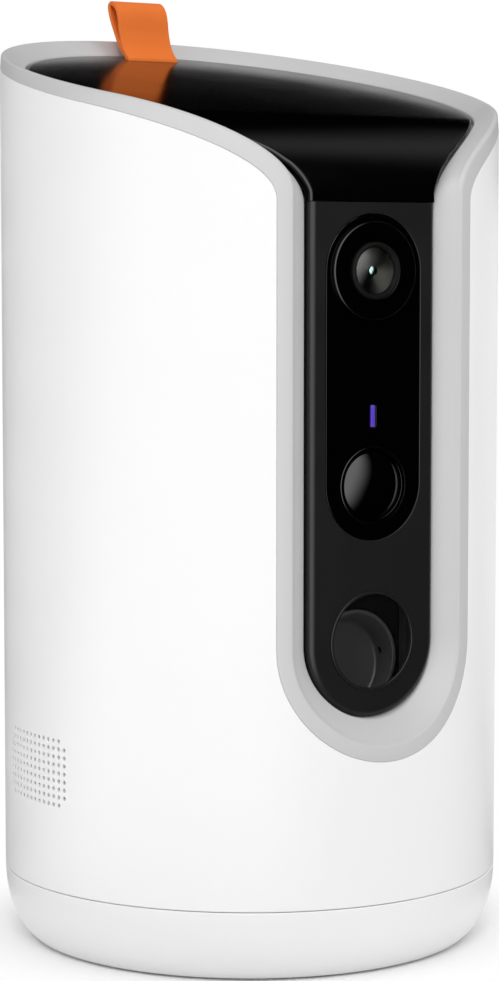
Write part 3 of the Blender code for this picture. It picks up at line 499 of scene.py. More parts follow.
def plate(loops, span, plane, edge=0.2):
    """A cage of flat outlines, the first outside and the rest holes, with rounded edges.

    Plane FRONT reads points as (x, z) between two y values, and SIDE reads (y, z) between two x.
    """
    curve = bpy.data.curves.new("plate", "CURVE")
    curve.dimensions = "2D"
    curve.fill_mode = "BOTH"
    curve.extrude = 0.5 * (span[1] - span[0]) - edge
    curve.bevel_depth = edge
    curve.bevel_resolution = 2
    curve.offset = -edge
    for loop in loops:
        spline = curve.splines.new("POLY")
        spline.points.add(len(loop) - 1)
        for point, (u, v) in zip(spline.points, loop):
            point.co = (u, v, 0, 1)
        spline.use_cyclic_u = True
    guide = placed("plate", curve)
    bpy.context.view_layer.update()
    mesh = bpy.data.meshes.new_from_object(guide.evaluated_get(bpy.context.evaluated_depsgraph_get()))
    cage = bmesh.new()
    cage.from_mesh(mesh)
    bpy.data.meshes.remove(mesh)
    bpy.data.objects.remove(guide, do_unlink=True)
    bpy.data.curves.remove(curve)
    bmesh.ops.remove_doubles(cage, verts=cage.verts, dist=0.0005)
    middle = 0.5 * (span[0] + span[1])
    for vert in cage.verts:
        u, v, w = vert.co
        vert.co = (u, middle - w, v) if plane == "FRONT" else (middle + w, u, v)
    return cage


def join(cage, *others):
    """Adds other cages to one as separate shells."""
    for other in others:
        mesh = mesh_of("shell", other)
        cage.from_mesh(mesh)
        bpy.data.meshes.remove(mesh)
    return cage


def rounded(points, reaches, steps=4):
    """An open line of points, in 2D or 3D, with its inner corners rounded."""
    if isinstance(reaches, (int, float)):
        reaches = [reaches] * len(points)
    line = []
    for i, point in enumerate(points):
        if i in (0, len(points) - 1):
            line.append(tuple(point))
            continue
        here, before, after = Vector(point), Vector(points[i - 1]), Vector(points[i + 1])
        reach = min(reaches[i], 0.48 * (before - here).length, 0.48 * (after - here).length)
        start = here + (before - here).normalized() * reach
        end = here + (after - here).normalized() * reach
        for j in range(steps + 1):
            t = j / steps
            line.append(tuple(start * (1 - t) ** 2 + here * 2 * t * (1 - t) + end * t * t))
    return line


def flowing(points, steps=5, closed=False):
    """A smooth line through 2D points."""
    count = len(points)
    line = []
    for i in range(count if closed else count - 1):
        if closed:
            p = [Vector(points[(i + k) % count]) for k in (-1, 0, 1, 2)]
        else:
            p = [Vector(points[min(max(i + k, 0), count - 1)]) for k in (-1, 0, 1, 2)]
        for j in range(steps):
            t = j / steps
            line.append(tuple(0.5 * (2 * p[1] + (p[2] - p[0]) * t
                                     + (2 * p[0] - 5 * p[1] + 4 * p[2] - p[3]) * t * t
                                     + (3 * p[1] - p[0] - 3 * p[2] + p[3]) * t ** 3)))
    return line if closed else line + [tuple(points[-1])]


def direction(points, i):
    """The unit direction of an open line of 2D points at one of them."""
    before, after = points[max(i - 1, 0)], points[min(i + 1, len(points) - 1)]
    return Vector((after[0] - before[0], after[1] - before[1])).normalized()


def arc(centre, radius, start, end, steps):
    angles = [math.radians(start + (end - start) * i / steps) for i in range(steps + 1)]
    return [(centre[0] + radius * math.cos(a), centre[1] + radius * math.sin(a)) for a in angles]


def circle(centre, radius, sides=64):
    return arc(centre, radius, 0, 360, sides)[:-1]


def tongue(half, bottom_centre, top, steps=64):
    """A strip with a round bottom end and a square top, as (x, z)."""
    return arc((0, bottom_centre), half, 180, 360, steps) + [(half, top), (-half, top)]


def stadium(half, low, high, steps=32):
    """A strip with two round ends, as (x, z)."""
    return arc((0, low + half), half, 180, 360, steps) + arc((0, high - half), half, 0, 180, steps)


def bezier(start, pull_start, pull_end, end, steps):
    """Points of a cubic curve in a plane."""
    points = []
    for i in range(steps + 1):
        t = i / steps
        weights = ((1 - t) ** 3, 3 * (1 - t) ** 2 * t, 3 * (1 - t) * t * t, t ** 3)
        points.append(tuple(sum(w * p[axis] for w, p in zip(weights, (start, pull_start, pull_end, end)))
                            for axis in (0, 1)))
    return points


def upright(outline, y):
    """An outline of (x, z) points, put at a y."""
    return [(x, y, z) for x, z in outline]


# Rim

def rim_height(y, drop=0.0):
    """The height of the slanted rim plane at a y, less a drop."""
    return RIM_Z - drop + RIM_SLOPE * y


def line_front(line):
    """Where a rim line comes down beside the opening, as (x, y)."""
    radius, _, half, flat_y, _, _ = line
    return half, flat_y if flat_y is not None else -math.sqrt(radius ** 2 - half ** 2)


def line_point(line, t):
    """The (y, z) of a rim line in its bend: t is 0 where it starts and 1 where it is upright."""
    _, drop, _, _, run, foot_z = line
    front_y = line_front(line)[1]
    fall = rim_height(front_y, drop) - foot_z
    y = front_y + run * (1 - t) ** 2
    return y, rim_height(y, drop) - fall * t * t


def rim_line(line, top_steps=56, bend_steps=32, round_steps=36):
    """Points of a rim line from the back, along +X, to the bottom of the front opening."""
    radius, drop, half, flat_y, run, _ = line
    front_x, front_y = line_front(line)
    start = math.acos(-(front_y + run) / radius)
    points = []
    for i in range(top_steps):
        a = math.pi + (start - math.pi) * i / top_steps
        y = -radius * math.cos(a)
        points.append(Vector((radius * math.sin(a), y, rim_height(y, drop))))
    for i in range(bend_steps + 1):
        y, z = line_point(line, i / bend_steps)
        points.append(Vector((math.sqrt(radius ** 2 - y ** 2), y, z)))
    points.append(Vector((front_x, front_y, LIP_SKIRT_Z)))
    for i in range(round_steps + 1):
        turn = 0.5 * math.pi * i / round_steps
        x = half * math.cos(turn)
        y = flat_y if flat_y is not None else -math.sqrt(radius ** 2 - x * x)
        points.append(Vector((x, y, OPENING_Z - half * math.sin(turn))))
    return points


def trim_ring(mat):
    """The pale lip round the rim: a loft through unlike sections with rounded corners."""
    lines = [rim_line(line) for line, _ in LIP_LINES]
    inward = (BODY_RADIUS - WALL) / BODY_RADIUS
    back = [Vector((p.x * inward, p.y * inward, p.z)) for p in lines[0]]
    reaches = [0, *(reach for _, reach in LIP_LINES), 0]
    half = [rounded([back_point, *section, back_point], reaches, 3)[1:]
            for back_point, section in zip(back, zip(*lines))]
    mirrored = [[(-x, y, z) for x, y, z in station] for station in reversed(half[1:-1])]
    cage = loft(half + mirrored, closed=True)
    piece("rim_lip", cage, mat, "body", "light_grey", "trim_ring", angle=40)


# Drum and base

def wall_edge(gap, radius):
    """The wall's edge beside the lip, once round: points unrolled from the drum, then put on a radius."""
    unrolled = [(BODY_RADIUS * math.atan2(p.x, -p.y), p.z) for p in rim_line(LIP_OUTER)]
    last = len(unrolled) - 1
    half = []
    for i, (run, z) in enumerate(unrolled):
        along = Vector(unrolled[min(i + 1, last)]) - Vector(unrolled[max(i - 1, 0)])
        along.normalize()
        if i in (0, last):
            along = Vector((-1, 0))
        here = (run - along.y * gap, z + along.x * gap)
        if half and abs(here[0] - half[-1][0]) < 0.004:
            here = (half[-1][0], here[1])
        half.append(here)
    around = half + [(-run, z) for run, z in reversed(half[1:-1])]
    turns = [(run / BODY_RADIUS, z) for run, z in around]
    return [(radius * math.sin(a), -radius * math.cos(a), z) for a, z in turns]


def feet_below(cage, tops, radius, height):
    """Vertices below the points of an edge, shared where two points stand above each other."""
    feet = []
    for i, (x, y, _) in enumerate(tops):
        if i and math.hypot(x - tops[i - 1][0], y - tops[i - 1][1]) < 1e-6:
            feet.append(feet[-1])
            continue
        scale = radius / math.hypot(x, y)
        feet.append(cage.verts.new((x * scale, y * scale, height)))
    return feet


def wall_faces(cage, feet, tops):
    """Faces between feet and tops, with the lower tops above a shared foot let into their side."""
    count = len(tops)
    for i in range(count):
        j, beyond = (i + 1) % count, (i + 2) % count
        if feet[i] is feet[j]:
            continue
        face = [feet[i], feet[j], tops[j], tops[i]]
        if feet[j] is feet[beyond] and tops[beyond].co.z < tops[j].co.z:
            face.insert(2, tops[beyond])
        if feet[i] is feet[i - 1] and tops[i].co.z > tops[i - 1].co.z:
            face.append(tops[i - 1])
        cage.faces.new(face)


def drum_wall(mat):
    """The drum's wall, with its opening, speaker holes, inlet slot and button hole."""
    cage = bmesh.new()
    inner = BODY_RADIUS - WALL
    foot = SEAM_Z + 0.5 * SEAM_GAP
    rows = [wall_edge(LIP_GAP + LIP_EDGE, BODY_RADIUS), wall_edge(LIP_GAP, BODY_RADIUS - LIP_EDGE),
            wall_edge(LIP_GAP, inner)]
    tops = [[cage.verts.new(point) for point in row] for row in rows]
    outer_feet = feet_below(cage, rows[0], BODY_RADIUS, foot + EDGE)
    edge_feet = feet_below(cage, rows[0], BODY_RADIUS - EDGE, foot)
    inner_feet = feet_below(cage, rows[2], inner, foot)
    wall_faces(cage, outer_feet, tops[0])
    wall_faces(cage, inner_feet, tops[2])
    ring_faces(cage, tops[0], tops[1])
    ring_faces(cage, tops[1], tops[2])
    ring_faces(cage, outer_feet, edge_feet)
    ring_faces(cage, edge_feet, inner_feet)
    inlet = arc((INLET_HALF, INLET_Z), INLET_ROUND, -90, 90, 16)
    inlet += arc((-INLET_HALF, INLET_Z), INLET_ROUND, 90, 270, 16)
    slot = loft([upright(inlet, y) for y in (54, 66)], closed=False)
    cage = carved(cage, speaker_holes(), slot, rod((0, 0, BUTTON_Z), "Y", -66, -54, BUTTON_HOLE))

    def radial(place, normal):
        """Round walls get the drum's own normals, and the faces of cuts and edges keep theirs."""
        outward = Vector((place.x, place.y, 0)).normalized()
        share = normal.dot(outward)
        return outward * math.copysign(1, share) if abs(share) > 0.97 else normal

    piece("drum_wall", cage, mat, "body", "white", "outer_shell", rule=radial)


def speaker_holes():
    """Small round cutters in a grid through the wall on the -X side, less its corners."""
    cage = bmesh.new()
    turn_up = Matrix.Rotation(math.pi / 2, 4, "Y")
    for column in range(SPEAKER_COLUMNS):
        angle = math.radians(-90 + SPEAKER_PITCH_DEG * (column - (SPEAKER_COLUMNS - 1) / 2))
        for row in range(SPEAKER_ROWS):
            if column in (0, SPEAKER_COLUMNS - 1) and row in (0, SPEAKER_ROWS - 1):
                continue
            z = SPEAKER_Z + SPEAKER_PITCH_Z * (row - (SPEAKER_ROWS - 1) / 2)
            reach = BODY_RADIUS - 0.5 * WALL
            spot = Vector((reach * math.sin(angle), -reach * math.cos(angle), z))
            matrix = Matrix.Translation(spot) @ Matrix.Rotation(angle - math.pi / 2, 4, "Z") @ turn_up
            bmesh.ops.create_cone(cage, cap_ends=True, segments=10, radius1=SPEAKER_HOLE,
                                  radius2=SPEAKER_HOLE, depth=2 * WALL, matrix=matrix)
    return cage


def base_bowl(mat):
    """The bowl under the seam, with its foot groove, screw recesses and bosses."""
    floor, inner_floor = 0.6, 3.8
    groove_in, groove_out, groove_top = 45.4, 52.6, 2.4
    edge = SEAM_Z - 0.5 * SEAM_GAP
    wall = bezier((BODY_RADIUS, edge - EDGE), (61.2, 8.6), (58.6, 3.4), (FOOT_RADIUS, floor), 36)
    inside = [(0, inner_floor), (50.5, inner_floor), (57.2, 9.0), (BODY_RADIUS - 2.6, edge),
              (BODY_RADIUS - EDGE, edge)]
    foot = [(groove_out, floor), (groove_out, groove_top), (groove_in, groove_top), (groove_in, floor),
            (0, floor)]
    cage = turned(inside + wall + foot, sides=160)
    cutters, bosses = [], []
    for degrees in BASE_SCREW_TURNS:
        a = math.radians(degrees)
        spot = (BASE_SCREW_ORBIT * math.cos(a), BASE_SCREW_ORBIT * math.sin(a), 0)
        cutters += [rod(spot, "Z", -1, 20, SCREW_BORE), rod(spot, "Z", -2, 3.0, SCREW_HEAD)]
        boss = [(BOSS_RADIUS, inner_floor), (BOSS_RADIUS, BOSS_TOP), (SCREW_BORE, BOSS_TOP),
                (SCREW_BORE, inner_floor)]
        bosses.append(ring_of(boss, centre=spot, sides=32))
    cage = join(carved(cage, *cutters), *bosses)
    piece("base_bowl", cage, mat, "body", "white", "base_cup", weighted=True)


def foot_pad(mat):
    pad = ring_of([(49, 2.1), (52.3, 2.1), (52.0, 0), (46.0, 0), (45.7, 2.1), (49, 2.1)], 0.4, sides=128)
    piece("foot_pad", pad, mat, "body", "rubber", "foot_ring")


# Lid

def lip_half_width(z):
    """Half the width between the two sides of the lip's inner line, at a height on its bend."""
    radius, drop, _, _, run, foot_z = LIP_INNER
    front_y = line_front(LIP_INNER)[1]
    level, rise = RIM_Z - drop, RIM_SLOPE * run
    fall = level + RIM_SLOPE * front_y - foot_z
    above = fall + foot_z + rise - z
    if above <= 0:
        return math.sqrt(radius ** 2 - ((z - level) / RIM_SLOPE) ** 2)
    t = (math.sqrt(rise ** 2 + (fall - rise) * above) - rise) / (fall - rise)
    return math.sqrt(radius ** 2 - (front_y + run * (1 - t) ** 2) ** 2)


def lid_profile(bend_steps=72):
    """The lid's middle line from its back to its foot: (length so far, y, z, normal y, normal z)."""
    start = PANEL_FACE_Y + LID_RUN
    points = [(LID_RADIUS - i, rim_height(LID_RADIUS - i, LID_DROP)) for i in range(int(2 * LID_RADIUS))
              if LID_RADIUS - i > start + 0.5]
    fall = rim_height(PANEL_FACE_Y, LID_DROP) - LID_FOOT_Z
    for i in range(bend_steps + 1):
        t = i / bend_steps
        y = PANEL_FACE_Y + LID_RUN * (1 - t) ** 2
        points.append((y, rim_height(y, LID_DROP) - fall * t * t))
    rows, length = [], 0.0
    for i, (y, z) in enumerate(points):
        along = direction(points, i)
        if i:
            length += math.hypot(y - points[i - 1][0], z - points[i - 1][1])
        rows.append((length, y, z, along.y, -along.x))
    return rows


def on_profile(rows, length):
    """The profile's (y, z, normal y, normal z) at a length from the back."""
    last = len(rows) - 1
    i = 0
    while i < last - 1 and rows[i + 1][0] < length:
        i += 1
    t = (length - rows[i][0]) / (rows[i + 1][0] - rows[i][0])
    return [a + (b - a) * t for a, b in zip(rows[i][1:], rows[i + 1][1:])]


def lid_outline(rows):
    """Half the lid's outline, unrolled along its profile: (x, length) from the back to the front corner."""
    stretch = math.hypot(1, RIM_SLOPE)
    start = PANEL_FACE_Y + LID_RUN
    outline = []
    turn = 0.0
    while LID_RADIUS * math.cos(math.radians(turn)) > start + 0.4:
        a = math.radians(turn)
        outline.append((LID_RADIUS * math.sin(a), LID_RADIUS * (1 - math.cos(a)) * stretch))
        turn += 2.0
    bend = [row for row in rows if row[1] <= start + 1e-6]
    for length, y, z, normal_y, normal_z in bend:
        widths = []
        for part in range(6):
            depth = LID_THICK * part / 5
            below_y, below_z = y - normal_y * depth, z - normal_z * depth
            widths.append(max(lip_half_width(below_z), math.sqrt(LIP_INNER[0] ** 2 - below_y ** 2)))
        share = min(1.0, (length - bend[0][0]) / 8)
        outline.append((max(PANEL_HALF, min(widths) - 0.45 - 0.35 * share), length))
    return outline


def lid_sheet():
    """The lid's bent sheet with rounded edges: loops step in from its outline, joined across."""
    rows = lid_profile()
    outline = lid_outline(rows)
    last = len(outline) - 1
    inward = []
    for i in range(len(outline)):
        along = direction(outline, i)
        inward.append((-along.y, along.x))
    inward[0], inward[last] = (0, 1), (-1, -0.25)
    steps = [(0.3, LID_THICK), (0, LID_THICK - 0.3)]
    for i in range(7):
        a = 0.5 * math.pi * i / 6
        steps.append((LID_ROUND * (1 - math.cos(a)), LID_ROUND * (1 - math.sin(a))))
    steps.append((LID_ROUND + 0.6, 0))
    cage = bmesh.new()
    loops = []
    for offset, drop in steps:
        spots = []
        for (x, length), (step_x, step_length) in zip(outline, inward):
            y, z, normal_y, normal_z = on_profile(rows, length + step_length * offset)
            spots.append((x + step_x * offset, y - normal_y * drop, z - normal_z * drop))
        right = [cage.verts.new(spot) for spot in spots]
        left = [cage.verts.new((-x, y, z)) for x, y, z in spots[1:]]
        loops.append((right, left))
    rings = [right + left[::-1] for right, left in loops]
    for here, there in zip(rings, rings[1:]):
        ring_faces(cage, here, there)
    for right, left in (loops[0], loops[-1]):
        cage.faces.new((right[0], right[1], left[0]))
        for i in range(1, last):
            cage.faces.new((right[i], right[i + 1], left[i], left[i - 1]))
    return cage


def lid(mat):
    """Black lid: the bent sheet with its strap slot, and the skirt that enters the treat store."""
    slot_z = rim_height(STRAP_Y, LID_DROP)
    reach = STRAP_HALF + 0.3
    cuts = [block((-reach, reach), (STRAP_Y - half, STRAP_Y + half), (slot_z - 6, slot_z + top))
            for half, top in ((1.4, 3), (2.2, -1.4))]
    cage = carved(lid_sheet(), *cuts)
    top, foot, flange = 0.6 - LID_DROP - LID_THICK, -LID_DROP - LID_THICK - 6.4, 1.1
    profile = [(SKIRT_OUTER, top), (SKIRT_OUTER, foot + 1.0), (SKIRT_OUTER + flange, foot + 1.0),
               (SKIRT_OUTER + flange, foot), (SKIRT_INNER, foot), (SKIRT_INNER, top)]
    skirt = slanted_ring(profile)
    piece("lid_cover", join(cage, skirt), mat, "lid", "gloss_black", "lid", angle=30)


def slanted_ring(profile, sides=96):
    """A ring about the treat store's axis, slanted with the rim; heights are from the rim plane."""
    stations = []
    for i in range(sides):
        a = 2 * math.pi * i / sides
        spots = [(r * math.cos(a), STORE_Y + r * math.sin(a), h) for r, h in profile]
        stations.append([(x, y, RIM_Z + h + RIM_SLOPE * y) for x, y, h in spots])
    return loft(stations, closed=True)


def pull_tab(mat):
    """Strap loop that leans back over the lid, with a thick end held under its slot."""
    foot = rim_height(STRAP_Y, LID_DROP)
    outside = [(STRAP_Y - 1.0, foot + 0.2), (50.4, 223.4), (51.9, 227.3), (52.6, 231.2), (53.5, 233.6),
               (55.2, 235.3), (57.2, 235.9), (58.5, 235.2), (58.6, 233.6), (57.4, 230.7), (55.2, 227.0),
               (52.9, 223.6), (STRAP_Y + 1.1, foot + 0.4)]
    held = [(STRAP_Y + 1.1, foot - 1.7), (STRAP_Y + 1.8, foot - 1.7), (STRAP_Y + 1.8, foot - 2.6),
            (STRAP_Y - 1.8, foot - 2.6), (STRAP_Y - 1.8, foot - 1.7), (STRAP_Y - 1.0, foot - 1.7)]
    inside = [(52.4, 225.3), (53.0, 227.6), (53.6, 230.9), (54.4, 232.9), (55.7, 234.2), (57.0, 234.7),
              (57.4, 233.8), (56.4, 231.1), (54.3, 227.6)]
    loops = [flowing(outside) + held, flowing(inside, closed=True)]
    cage = plate(loops, (-STRAP_HALF, STRAP_HALF), "SIDE", 0.3)
    piece("strap_loop", cage, mat, "lid", "strap", "pull_tab", angle=50, weighted=True)


# Front panel

def front_plate(mat):
    """Satin panel with a rounded edge, its pocket and ways, and the bead round the treat outlet."""
    outlines = [(PANEL_BACK_Y, PANEL_HALF)]
    for i in range(11):
        a = math.radians(9 * i)
        outlines.append((PANEL_FACE_Y + PANEL_ROUND * (1 - math.sin(a)),
                         PANEL_HALF - PANEL_ROUND * (1 - math.cos(a))))
    stations = [upright(tongue(half, OPENING_Z, PANEL_TOP_Z), y) for y, half in outlines]
    steps = ((-51.2, 0.15), (PANEL_FACE_Y + 0.1, 0.15), (PANEL_FACE_Y - 0.02, 0.27), (-57, 0.27))
    pocket = [upright(stadium(INSET_HALF + gap, INSET_BOTTOM_Z - gap, INSET_TOP_Z + gap, 40), y)
              for y, gap in steps]
    light = [upright(stadium(0.9, LIGHT_Z - 3.0, LIGHT_Z + 3.0, 10), y) for y in (-56, -48)]
    way = OUTLET_RADIUS + 0.1
    outlet = [(0, 47), (way + 1.6, 47), (way + 1.6, 52.4), (way, 53.4), (way, 57), (0, 57)]
    cage = carved(loft(stations, closed=False), loft(pocket, closed=False),
                  rod((0, 0, LENS_Z), "Y", 48, 56, 9.8, 64), rod((0, 0, SENSOR_Z), "Y", 48, 56, 8.4, 64),
                  loft(light, closed=False), turned(outlet, (0, 0, OUTLET_Z), "Y", 96))
    piece("front_plate", cage, mat, "body", "satin_black", "front_panel", angle=30, weighted=True)
    bead = [(11.4, 53.4), (11.75, 53.4), (11.75, BEAD_FRONT), (11.0, BEAD_FRONT), (11.0, 53.9), (11.4, 53.4)]
    bead = ring_of(bead, [0, 0.05, 0.25, 0.25, 0.1, 0], centre=(0, 0, OUTLET_Z), axis="Y", sides=128)
    piece("outlet_rim", bead, mat, "body", "satin_black", angle=40)


def face_insert(mat):
    """Glossy stadium plate in the panel's pocket."""
    loops = [stadium(INSET_HALF, INSET_BOTTOM_Z, INSET_TOP_Z, 40), circle((0, LENS_Z), 11.6, 96),
             circle((0, SENSOR_Z), 9.15, 96), stadium(0.8, LIGHT_Z - 2.85, LIGHT_Z + 2.85, 12)]
    cage = plate(loops, (INSET_FACE_Y, -51.5), "FRONT", 0.15)
    piece("face_insert", cage, mat, "body", "gloss_black", "panel_inset", angle=30, weighted=True)


def lens(mats):
    """Dished ring, barrel, front glass, and the turned cone and small element behind the glass.

    Profiles are (radius, distance from the drum's axis).
    """
    centre = (0, 0, LENS_Z)
    dish = [(9, 51.5), (11.5, 51.5), (11.5, LENS_RING_FRONT), (6.9, LENS_RING_FRONT - 0.2), (6.9, 51.5),
            (9, 51.5)]
    dish = ring_of(dish, [0, 0.2, 0.45, 0.15, 0.1, 0], centre=centre, axis="Y", sides=128)
    piece("lens_dish", dish, mats["gloss_black"], "body", "gloss_black", "camera_ring", angle=40)
    tube = [(6.2, 46.0), (6.7, 46.0), (6.7, BARREL_FRONT - 0.4), (6.2, BARREL_FRONT),
            (5.8, BARREL_FRONT - 0.1), (5.4, BARREL_FRONT - 0.8), (5.4, 53.0), (5.6, 52.8), (5.6, 46.0),
            (6.2, 46.0)]
    tube = ring_of(tube, [0, 0.1, 0.3, 0.3, 0.25, 0.2, 0.1, 0.1, 0.1, 0], centre=centre, axis="Y", sides=96)
    piece("lens_tube", tube, mats["barrel"], "body", "satin_black", "lens_barrel", angle=40)
    faces = []
    for radius, apex in ((15.0, GLASS_FRONT), (14.7, GLASS_FRONT - 0.3)):
        faces.append([(radius * math.sin(a), apex - radius * (1 - math.cos(a)))
                      for a in [math.asin(5.3 / radius) * i / 8 for i in range(1, 9)]])
    glass = [(0, GLASS_FRONT), *faces[0], *faces[1][::-1], (0, GLASS_FRONT - 0.3)]
    piece("lens_front", turned(glass, centre, "Y", 96), mats["lens"], "body", "lens", "lens_glass")
    cone = [(4.0, 52.0), (5.3, 52.0), (5.3, 54.5), (5.1, 54.5), (1.2, 53.8), (1.2, 52.0), (4.0, 52.0)]
    cone = ring_of(cone, [0, 0.1, 0.05, 0.1, 0.1, 0.1, 0], centre=centre, axis="Y", sides=128)
    piece("lens_cone", cone, mats["lens_cone"], "body", "steel")
    ball, rise = 1.6, 54.6
    bead = [(0, rise)]
    bead += [(ball * math.sin(0.1 * i), rise - ball + ball * math.cos(0.1 * i)) for i in range(1, 9)]
    bead += [(1.15, 52.9), (0, 52.9)]
    piece("lens_bead", turned(bead, centre, "Y", 64), mats["coated"], "body", "lens")


def sensor(mats):
    """Ring and domed cover of the motion sensor."""
    centre = (0, 0, SENSOR_Z)
    ring = ring_of([(8.6, 52.6), (9.1, 52.6), (9.1, 54.4), (8.1, 54.4), (8.1, 52.6), (8.6, 52.6)],
                   [0, 0.1, 0.25, 0.1, 0.1, 0], centre=centre, axis="Y", sides=128)
    piece("dome_ring", ring, mats["gloss_black"], "body", "gloss_black", "sensor_ring", angle=40)
    ball, rim, steps = 14.5, 8.0, 14
    edge = math.asin(rim / ball)
    crown = [(ball * math.sin(edge * i / steps), DOME_FRONT - ball * (1 - math.cos(edge * i / steps)))
             for i in range(steps + 1)]
    flange = [(8.05, 52.3), (9.0, 52.3), (9.0, 51.6), (7.3, 51.6), (7.3, 52.5), (4.0, 54.1), (0, 54.7)]
    piece("dome_cover", turned(crown + flange, centre, "Y", 128), mats["gloss_black"], "body", "gloss_black",
          "sensor_dome")


def light_pipe(mat):
    outline = stadium(0.5, LIGHT_Z - 2.55, LIGHT_Z + 2.55, 16)
    piece("light_bar", plate([outline], (-54.35, -46.0), "FRONT", 0.1), mat, "body", "indigo", "light_pipe",
          weighted=True)


def scoop(mat):
    """Cup, arm and hub in one moulding: the mouth faces the outlet, and the cup dips behind it."""
    back = CUP_FRONT_Y + CUP_DEPTH + 2 * CUP_WALL
    inner, floor = CUP_RADIUS - CUP_WALL, CUP_FRONT_Y + CUP_DEPTH
    line = rounded([(5, back), (CUP_RADIUS, back), (CUP_RADIUS, CUP_FRONT_Y), (inner, CUP_FRONT_Y),
                    (inner, floor), (5, floor)], [0, CUP_CORNER, 0.15, 0.15, CUP_CORNER, 0], 5)
    stations = []
    for radius, y in line:
        middle = (0, CUP_Z - CUP_DIP * (y - CUP_FRONT_Y))
        stations.append(upright(circle(middle, radius, 80), y))
    hole = [(0, 5), (0.75, 5), (0.75, inner - 0.1), (2.6, inner + 1.6), (0, inner + 1.6)]
    cup = carved(loft(stations, closed=False),
                 turned(hole, (0, CUP_FRONT_Y + 5.1, CUP_Z + 0.9), "X", 32))
    arm = plate([[(-28.3, 43.2), (-39.4, 60.5), (-39.4, 74.5), (-35.8, 76.0), (-20.6, 46.2)]], (-3.2, 3.2),
                "SIDE", 0.5)
    hub = [(1.8, -13.2), (3.3, -13.2), (3.3, -6.5), (5.0, -6.5), (5.0, 13.2), (1.8, 13.2)]
    turned_hub = ring_of(hub, centre=(0, *PIVOT), axis="X", sides=64)
    piece("treat_cup", join(cup, arm, turned_hub), mat, "scoop", "mid_grey", "launch_scoop", angle=40,
          weighted=True)


# Stage

# Name, place and target in metres, width and height in metres, and watts
LAMPS = [
    ("key", (-0.55, -0.85, 0.92), (0, 0, 0.10), (0.3, 0.3), 2.85),
    ("right", (0.75, -0.90, 0.60), (0, 0, 0.12), (0.6, 0.8), 3.2),
    ("left", (-1.00, 0.05, 0.60), (0, 0, 0.12), (0.6, 0.8), 1.3),
    ("top", (0.05, -0.10, 1.20), (0, 0, 0.15), (0.8, 0.6), 1.2),
]
WORLD_LIGHT = 0.70
FLOOR_RADIUS = 4.0
# Distances from the middle over which the floor goes over to plain white
FLOOR_FADE = (0.052, 0.086)
CAMERA_PLACE = (-0.3644, -0.5824, 0.1680)
CAMERA_AZIMUTH = -32.03
CAMERA_PITCH = -4.78
CAMERA_LENS = 101.0


def studio():
    """Pale floor, soft lamps, world, reflection dome and camera."""
    scene = bpy.context.scene
    scene.view_settings.view_transform = "Standard"
    cage = bmesh.new()
    bmesh.ops.create_circle(cage, cap_ends=True, segments=96, radius=FLOOR_RADIUS)
    stage_object("floor", cage, floor_material())
    for row in LAMPS:
        lamp(*row)
    world = bpy.data.worlds.new("studio")
    scene.world = world
    world.use_nodes = True
    tree = world.node_tree
    tree.nodes.clear()
    dim, seen = [new_node(tree, "Background", "Background", Color=(1, 1, 1, 1), Strength=level)
                 for level in (WORLD_LIGHT, 1.0)]
    look = mix_shaders(tree, seen_rays(tree), dim, seen)
    tree.links.new(look, tree.nodes.new("ShaderNodeOutputWorld").inputs["Surface"])
    reflection_dome()
    camera = bpy.data.cameras.new("camera")
    camera.lens = CAMERA_LENS
    camera.sensor_width = 36.0
    view = placed("camera", camera)
    view.location = CAMERA_PLACE
    view.rotation_euler = (math.pi / 2 + math.radians(CAMERA_PITCH), 0, math.radians(CAMERA_AZIMUTH))
    scene.camera = view


def stage_object(name, cage, mat):
    mesh = bpy.data.meshes.new(name)
    cage.to_mesh(mesh)
    cage.free()
    mesh.materials.append(mat)
    return placed(name, mesh)


def seen_rays(tree):
    """1 for camera, glossy and transmission rays, and 0 for the rest."""
    path = tree.nodes.new("ShaderNodeLightPath").outputs
    glassy = math_node(tree, "MAXIMUM", path["Is Glossy Ray"], path["Is Transmission Ray"])
    return math_node(tree, "MAXIMUM", path["Is Camera Ray"], glassy)


def floor_material():
    """White near the object, where it keeps the shadow, and plain white further off."""
    mat, tree, shader = nodes_of("floor")
    bounce = blend_colours(tree, noise(tree, 3, 2.0), (0.78, 0.78, 0.78), (0.76, 0.76, 0.76))
    colour = blend_colours(tree, seen_rays(tree), bounce, (0.95, 0.95, 0.95))
    wired(tree, shader, Base_Color=colour, Roughness=0.9)
    length = vector_node(tree, "LENGTH", "Value", object_place(tree))
    far = spread(tree, length, 0.0, 1.0, *FLOOR_FADE, soft=True)
    share = math_node(tree, "MULTIPLY", far, seen_rays(tree))
    look = mix_shaders(tree, share, shader.outputs["BSDF"], new_node(tree, "Emission", "Emission"))
    tree.links.new(look, tree.nodes["Material Output"].inputs["Surface"])
    return mat


def lamp(name, place, target, size, watts):
    """A soft lamp; the cards of the reflection dome stand for it in glossy surfaces."""
    data = bpy.data.lights.new(name, "AREA")
    data.shape = "RECTANGLE"
    data.size, data.size_y = size
    data.energy = watts
    obj = placed(name, data)
    obj.location = place
    obj.rotation_euler = (Vector(target) - Vector(place)).to_track_quat("-Z", "Y").to_euler()
    obj.visible_glossy = False
    obj.visible_transmission = False


# Soft cards of the dome, in degrees: where each starts, is full and ends, by azimuth from the front
# towards +X and then by elevation, its brightness, and how far it leans to the right with height
CARDS = [
    ((-125, -88, -24, 18), (-50, -25, 56, 72), 3.2, 0.45),
    ((40, 84, 92, 136), (34, 44, 64, 84), 0.27, 0.0),
]
DOME_LEVEL = 0.0005


def window(tree, value, span):
    """1 in the middle of four values, with soft sides."""
    rise = spread(tree, value, 0.0, 1.0, span[0], span[1], soft=True)
    fall = spread(tree, value, 1.0, 0.0, span[2], span[3], soft=True)
    return math_node(tree, "MULTIPLY", rise, fall)


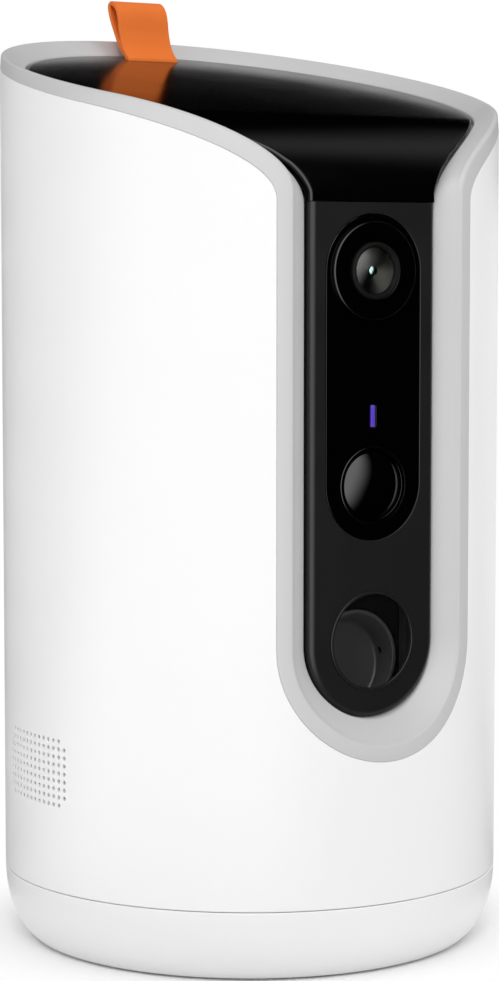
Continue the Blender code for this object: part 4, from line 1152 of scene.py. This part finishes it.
def dome_material():
    """Near black, with the cards' light by direction from the dome's middle."""
    mat, tree, shader = nodes_of("reflection_dome")
    parts = tree.nodes.new("ShaderNodeSeparateXYZ")
    way = wired(tree, parts, Vector=vector_node(tree, "NORMALIZE", "Vector", object_place(tree))).outputs
    towards = math_node(tree, "MULTIPLY", way["Y"], -1.0)
    azimuth = math_node(tree, "DEGREES", math_node(tree, "ARCTAN2", way["X"], towards))
    elevation = math_node(tree, "DEGREES", math_node(tree, "ARCSINE", way["Z"]))
    total = DOME_LEVEL
    for turns, heights, level, lean in CARDS:
        turn = math_node(tree, "SUBTRACT", azimuth, math_node(tree, "MULTIPLY", elevation, lean))
        light = math_node(tree, "MULTIPLY", window(tree, turn, turns), window(tree, elevation, heights))
        total = math_node(tree, "ADD", math_node(tree, "MULTIPLY", light, level), total)
    wired(tree, shader, Emission_Strength=total, Emission_Color=(1, 1, 1, 1), Base_Color=(0, 0, 0, 1),
          Roughness=1.0, Specular_IOR_Level=0.0)
    return mat


def reflection_dome():
    """Dark flags and soft cards round the object, which only its reflections see.

    Black plastic stays black in them. At the right and rear they end above the horizon, so that
    the white background shows there in reflections too.
    """
    radius, middle, rows, columns = 0.55, 0.12, 24, 96
    open_height, skirt = 8, 0.08
    floor = 0.1 - math.degrees(math.asin(middle / radius))
    cage = bmesh.new()
    grid = []
    for j in range(-1, rows + 1):
        row = []
        for i in range(columns):
            azimuth = -180 + 360 * i / columns
            open_side = max(0.0, min(1.0, (azimuth - 90) / 10, (152 - azimuth) / 6))
            low = floor + (open_height - floor) * open_side
            e = math.radians(low + (90 - low) * max(j, 0) / rows)
            a = math.radians(azimuth)
            reach = radius * math.cos(e)
            if j < 0:
                reach += (skirt - reach) * (1 - open_side)
            row.append(cage.verts.new((reach * math.sin(a), -reach * math.cos(a), radius * math.sin(e))))
        grid.append(row)
    for low_row, high_row in zip(grid, grid[1:]):
        ring_faces(cage, low_row, high_row)
    dome = stage_object("reflection_dome", cage, dome_material())
    dome.location = (0, 0, middle)
    for ray in ("camera", "diffuse", "shadow", "volume_scatter"):
        setattr(dome, "visible_" + ray, False)


def outside(mats):
    """The rebuilt pieces, each with its material."""
    trim_ring(mats["light_grey"])
    drum_wall(mats["white"])
    base_bowl(mats["white"])
    foot_pad(mats["rubber"])
    lid(mats["lid_black"])
    pull_tab(mats["strap"])
    front_plate(mats["satin_black"])
    face_insert(mats["gloss_black"])
    lens(mats)
    sensor(mats)
    light_pipe(mats["indigo"])
    # The scoop gets the darker plastic, whose colour holds painted shade of the outlet's recess.
    scoop(mats["scoop"])


MATERIALS = materials()
SLOTS = {row["node"]: row["material_slot"] for row in frame["record"]["subparts"]}
for node in nodes:
    dress(node, MATERIALS[SLOTS[node]])
outside(MATERIALS)
studio()
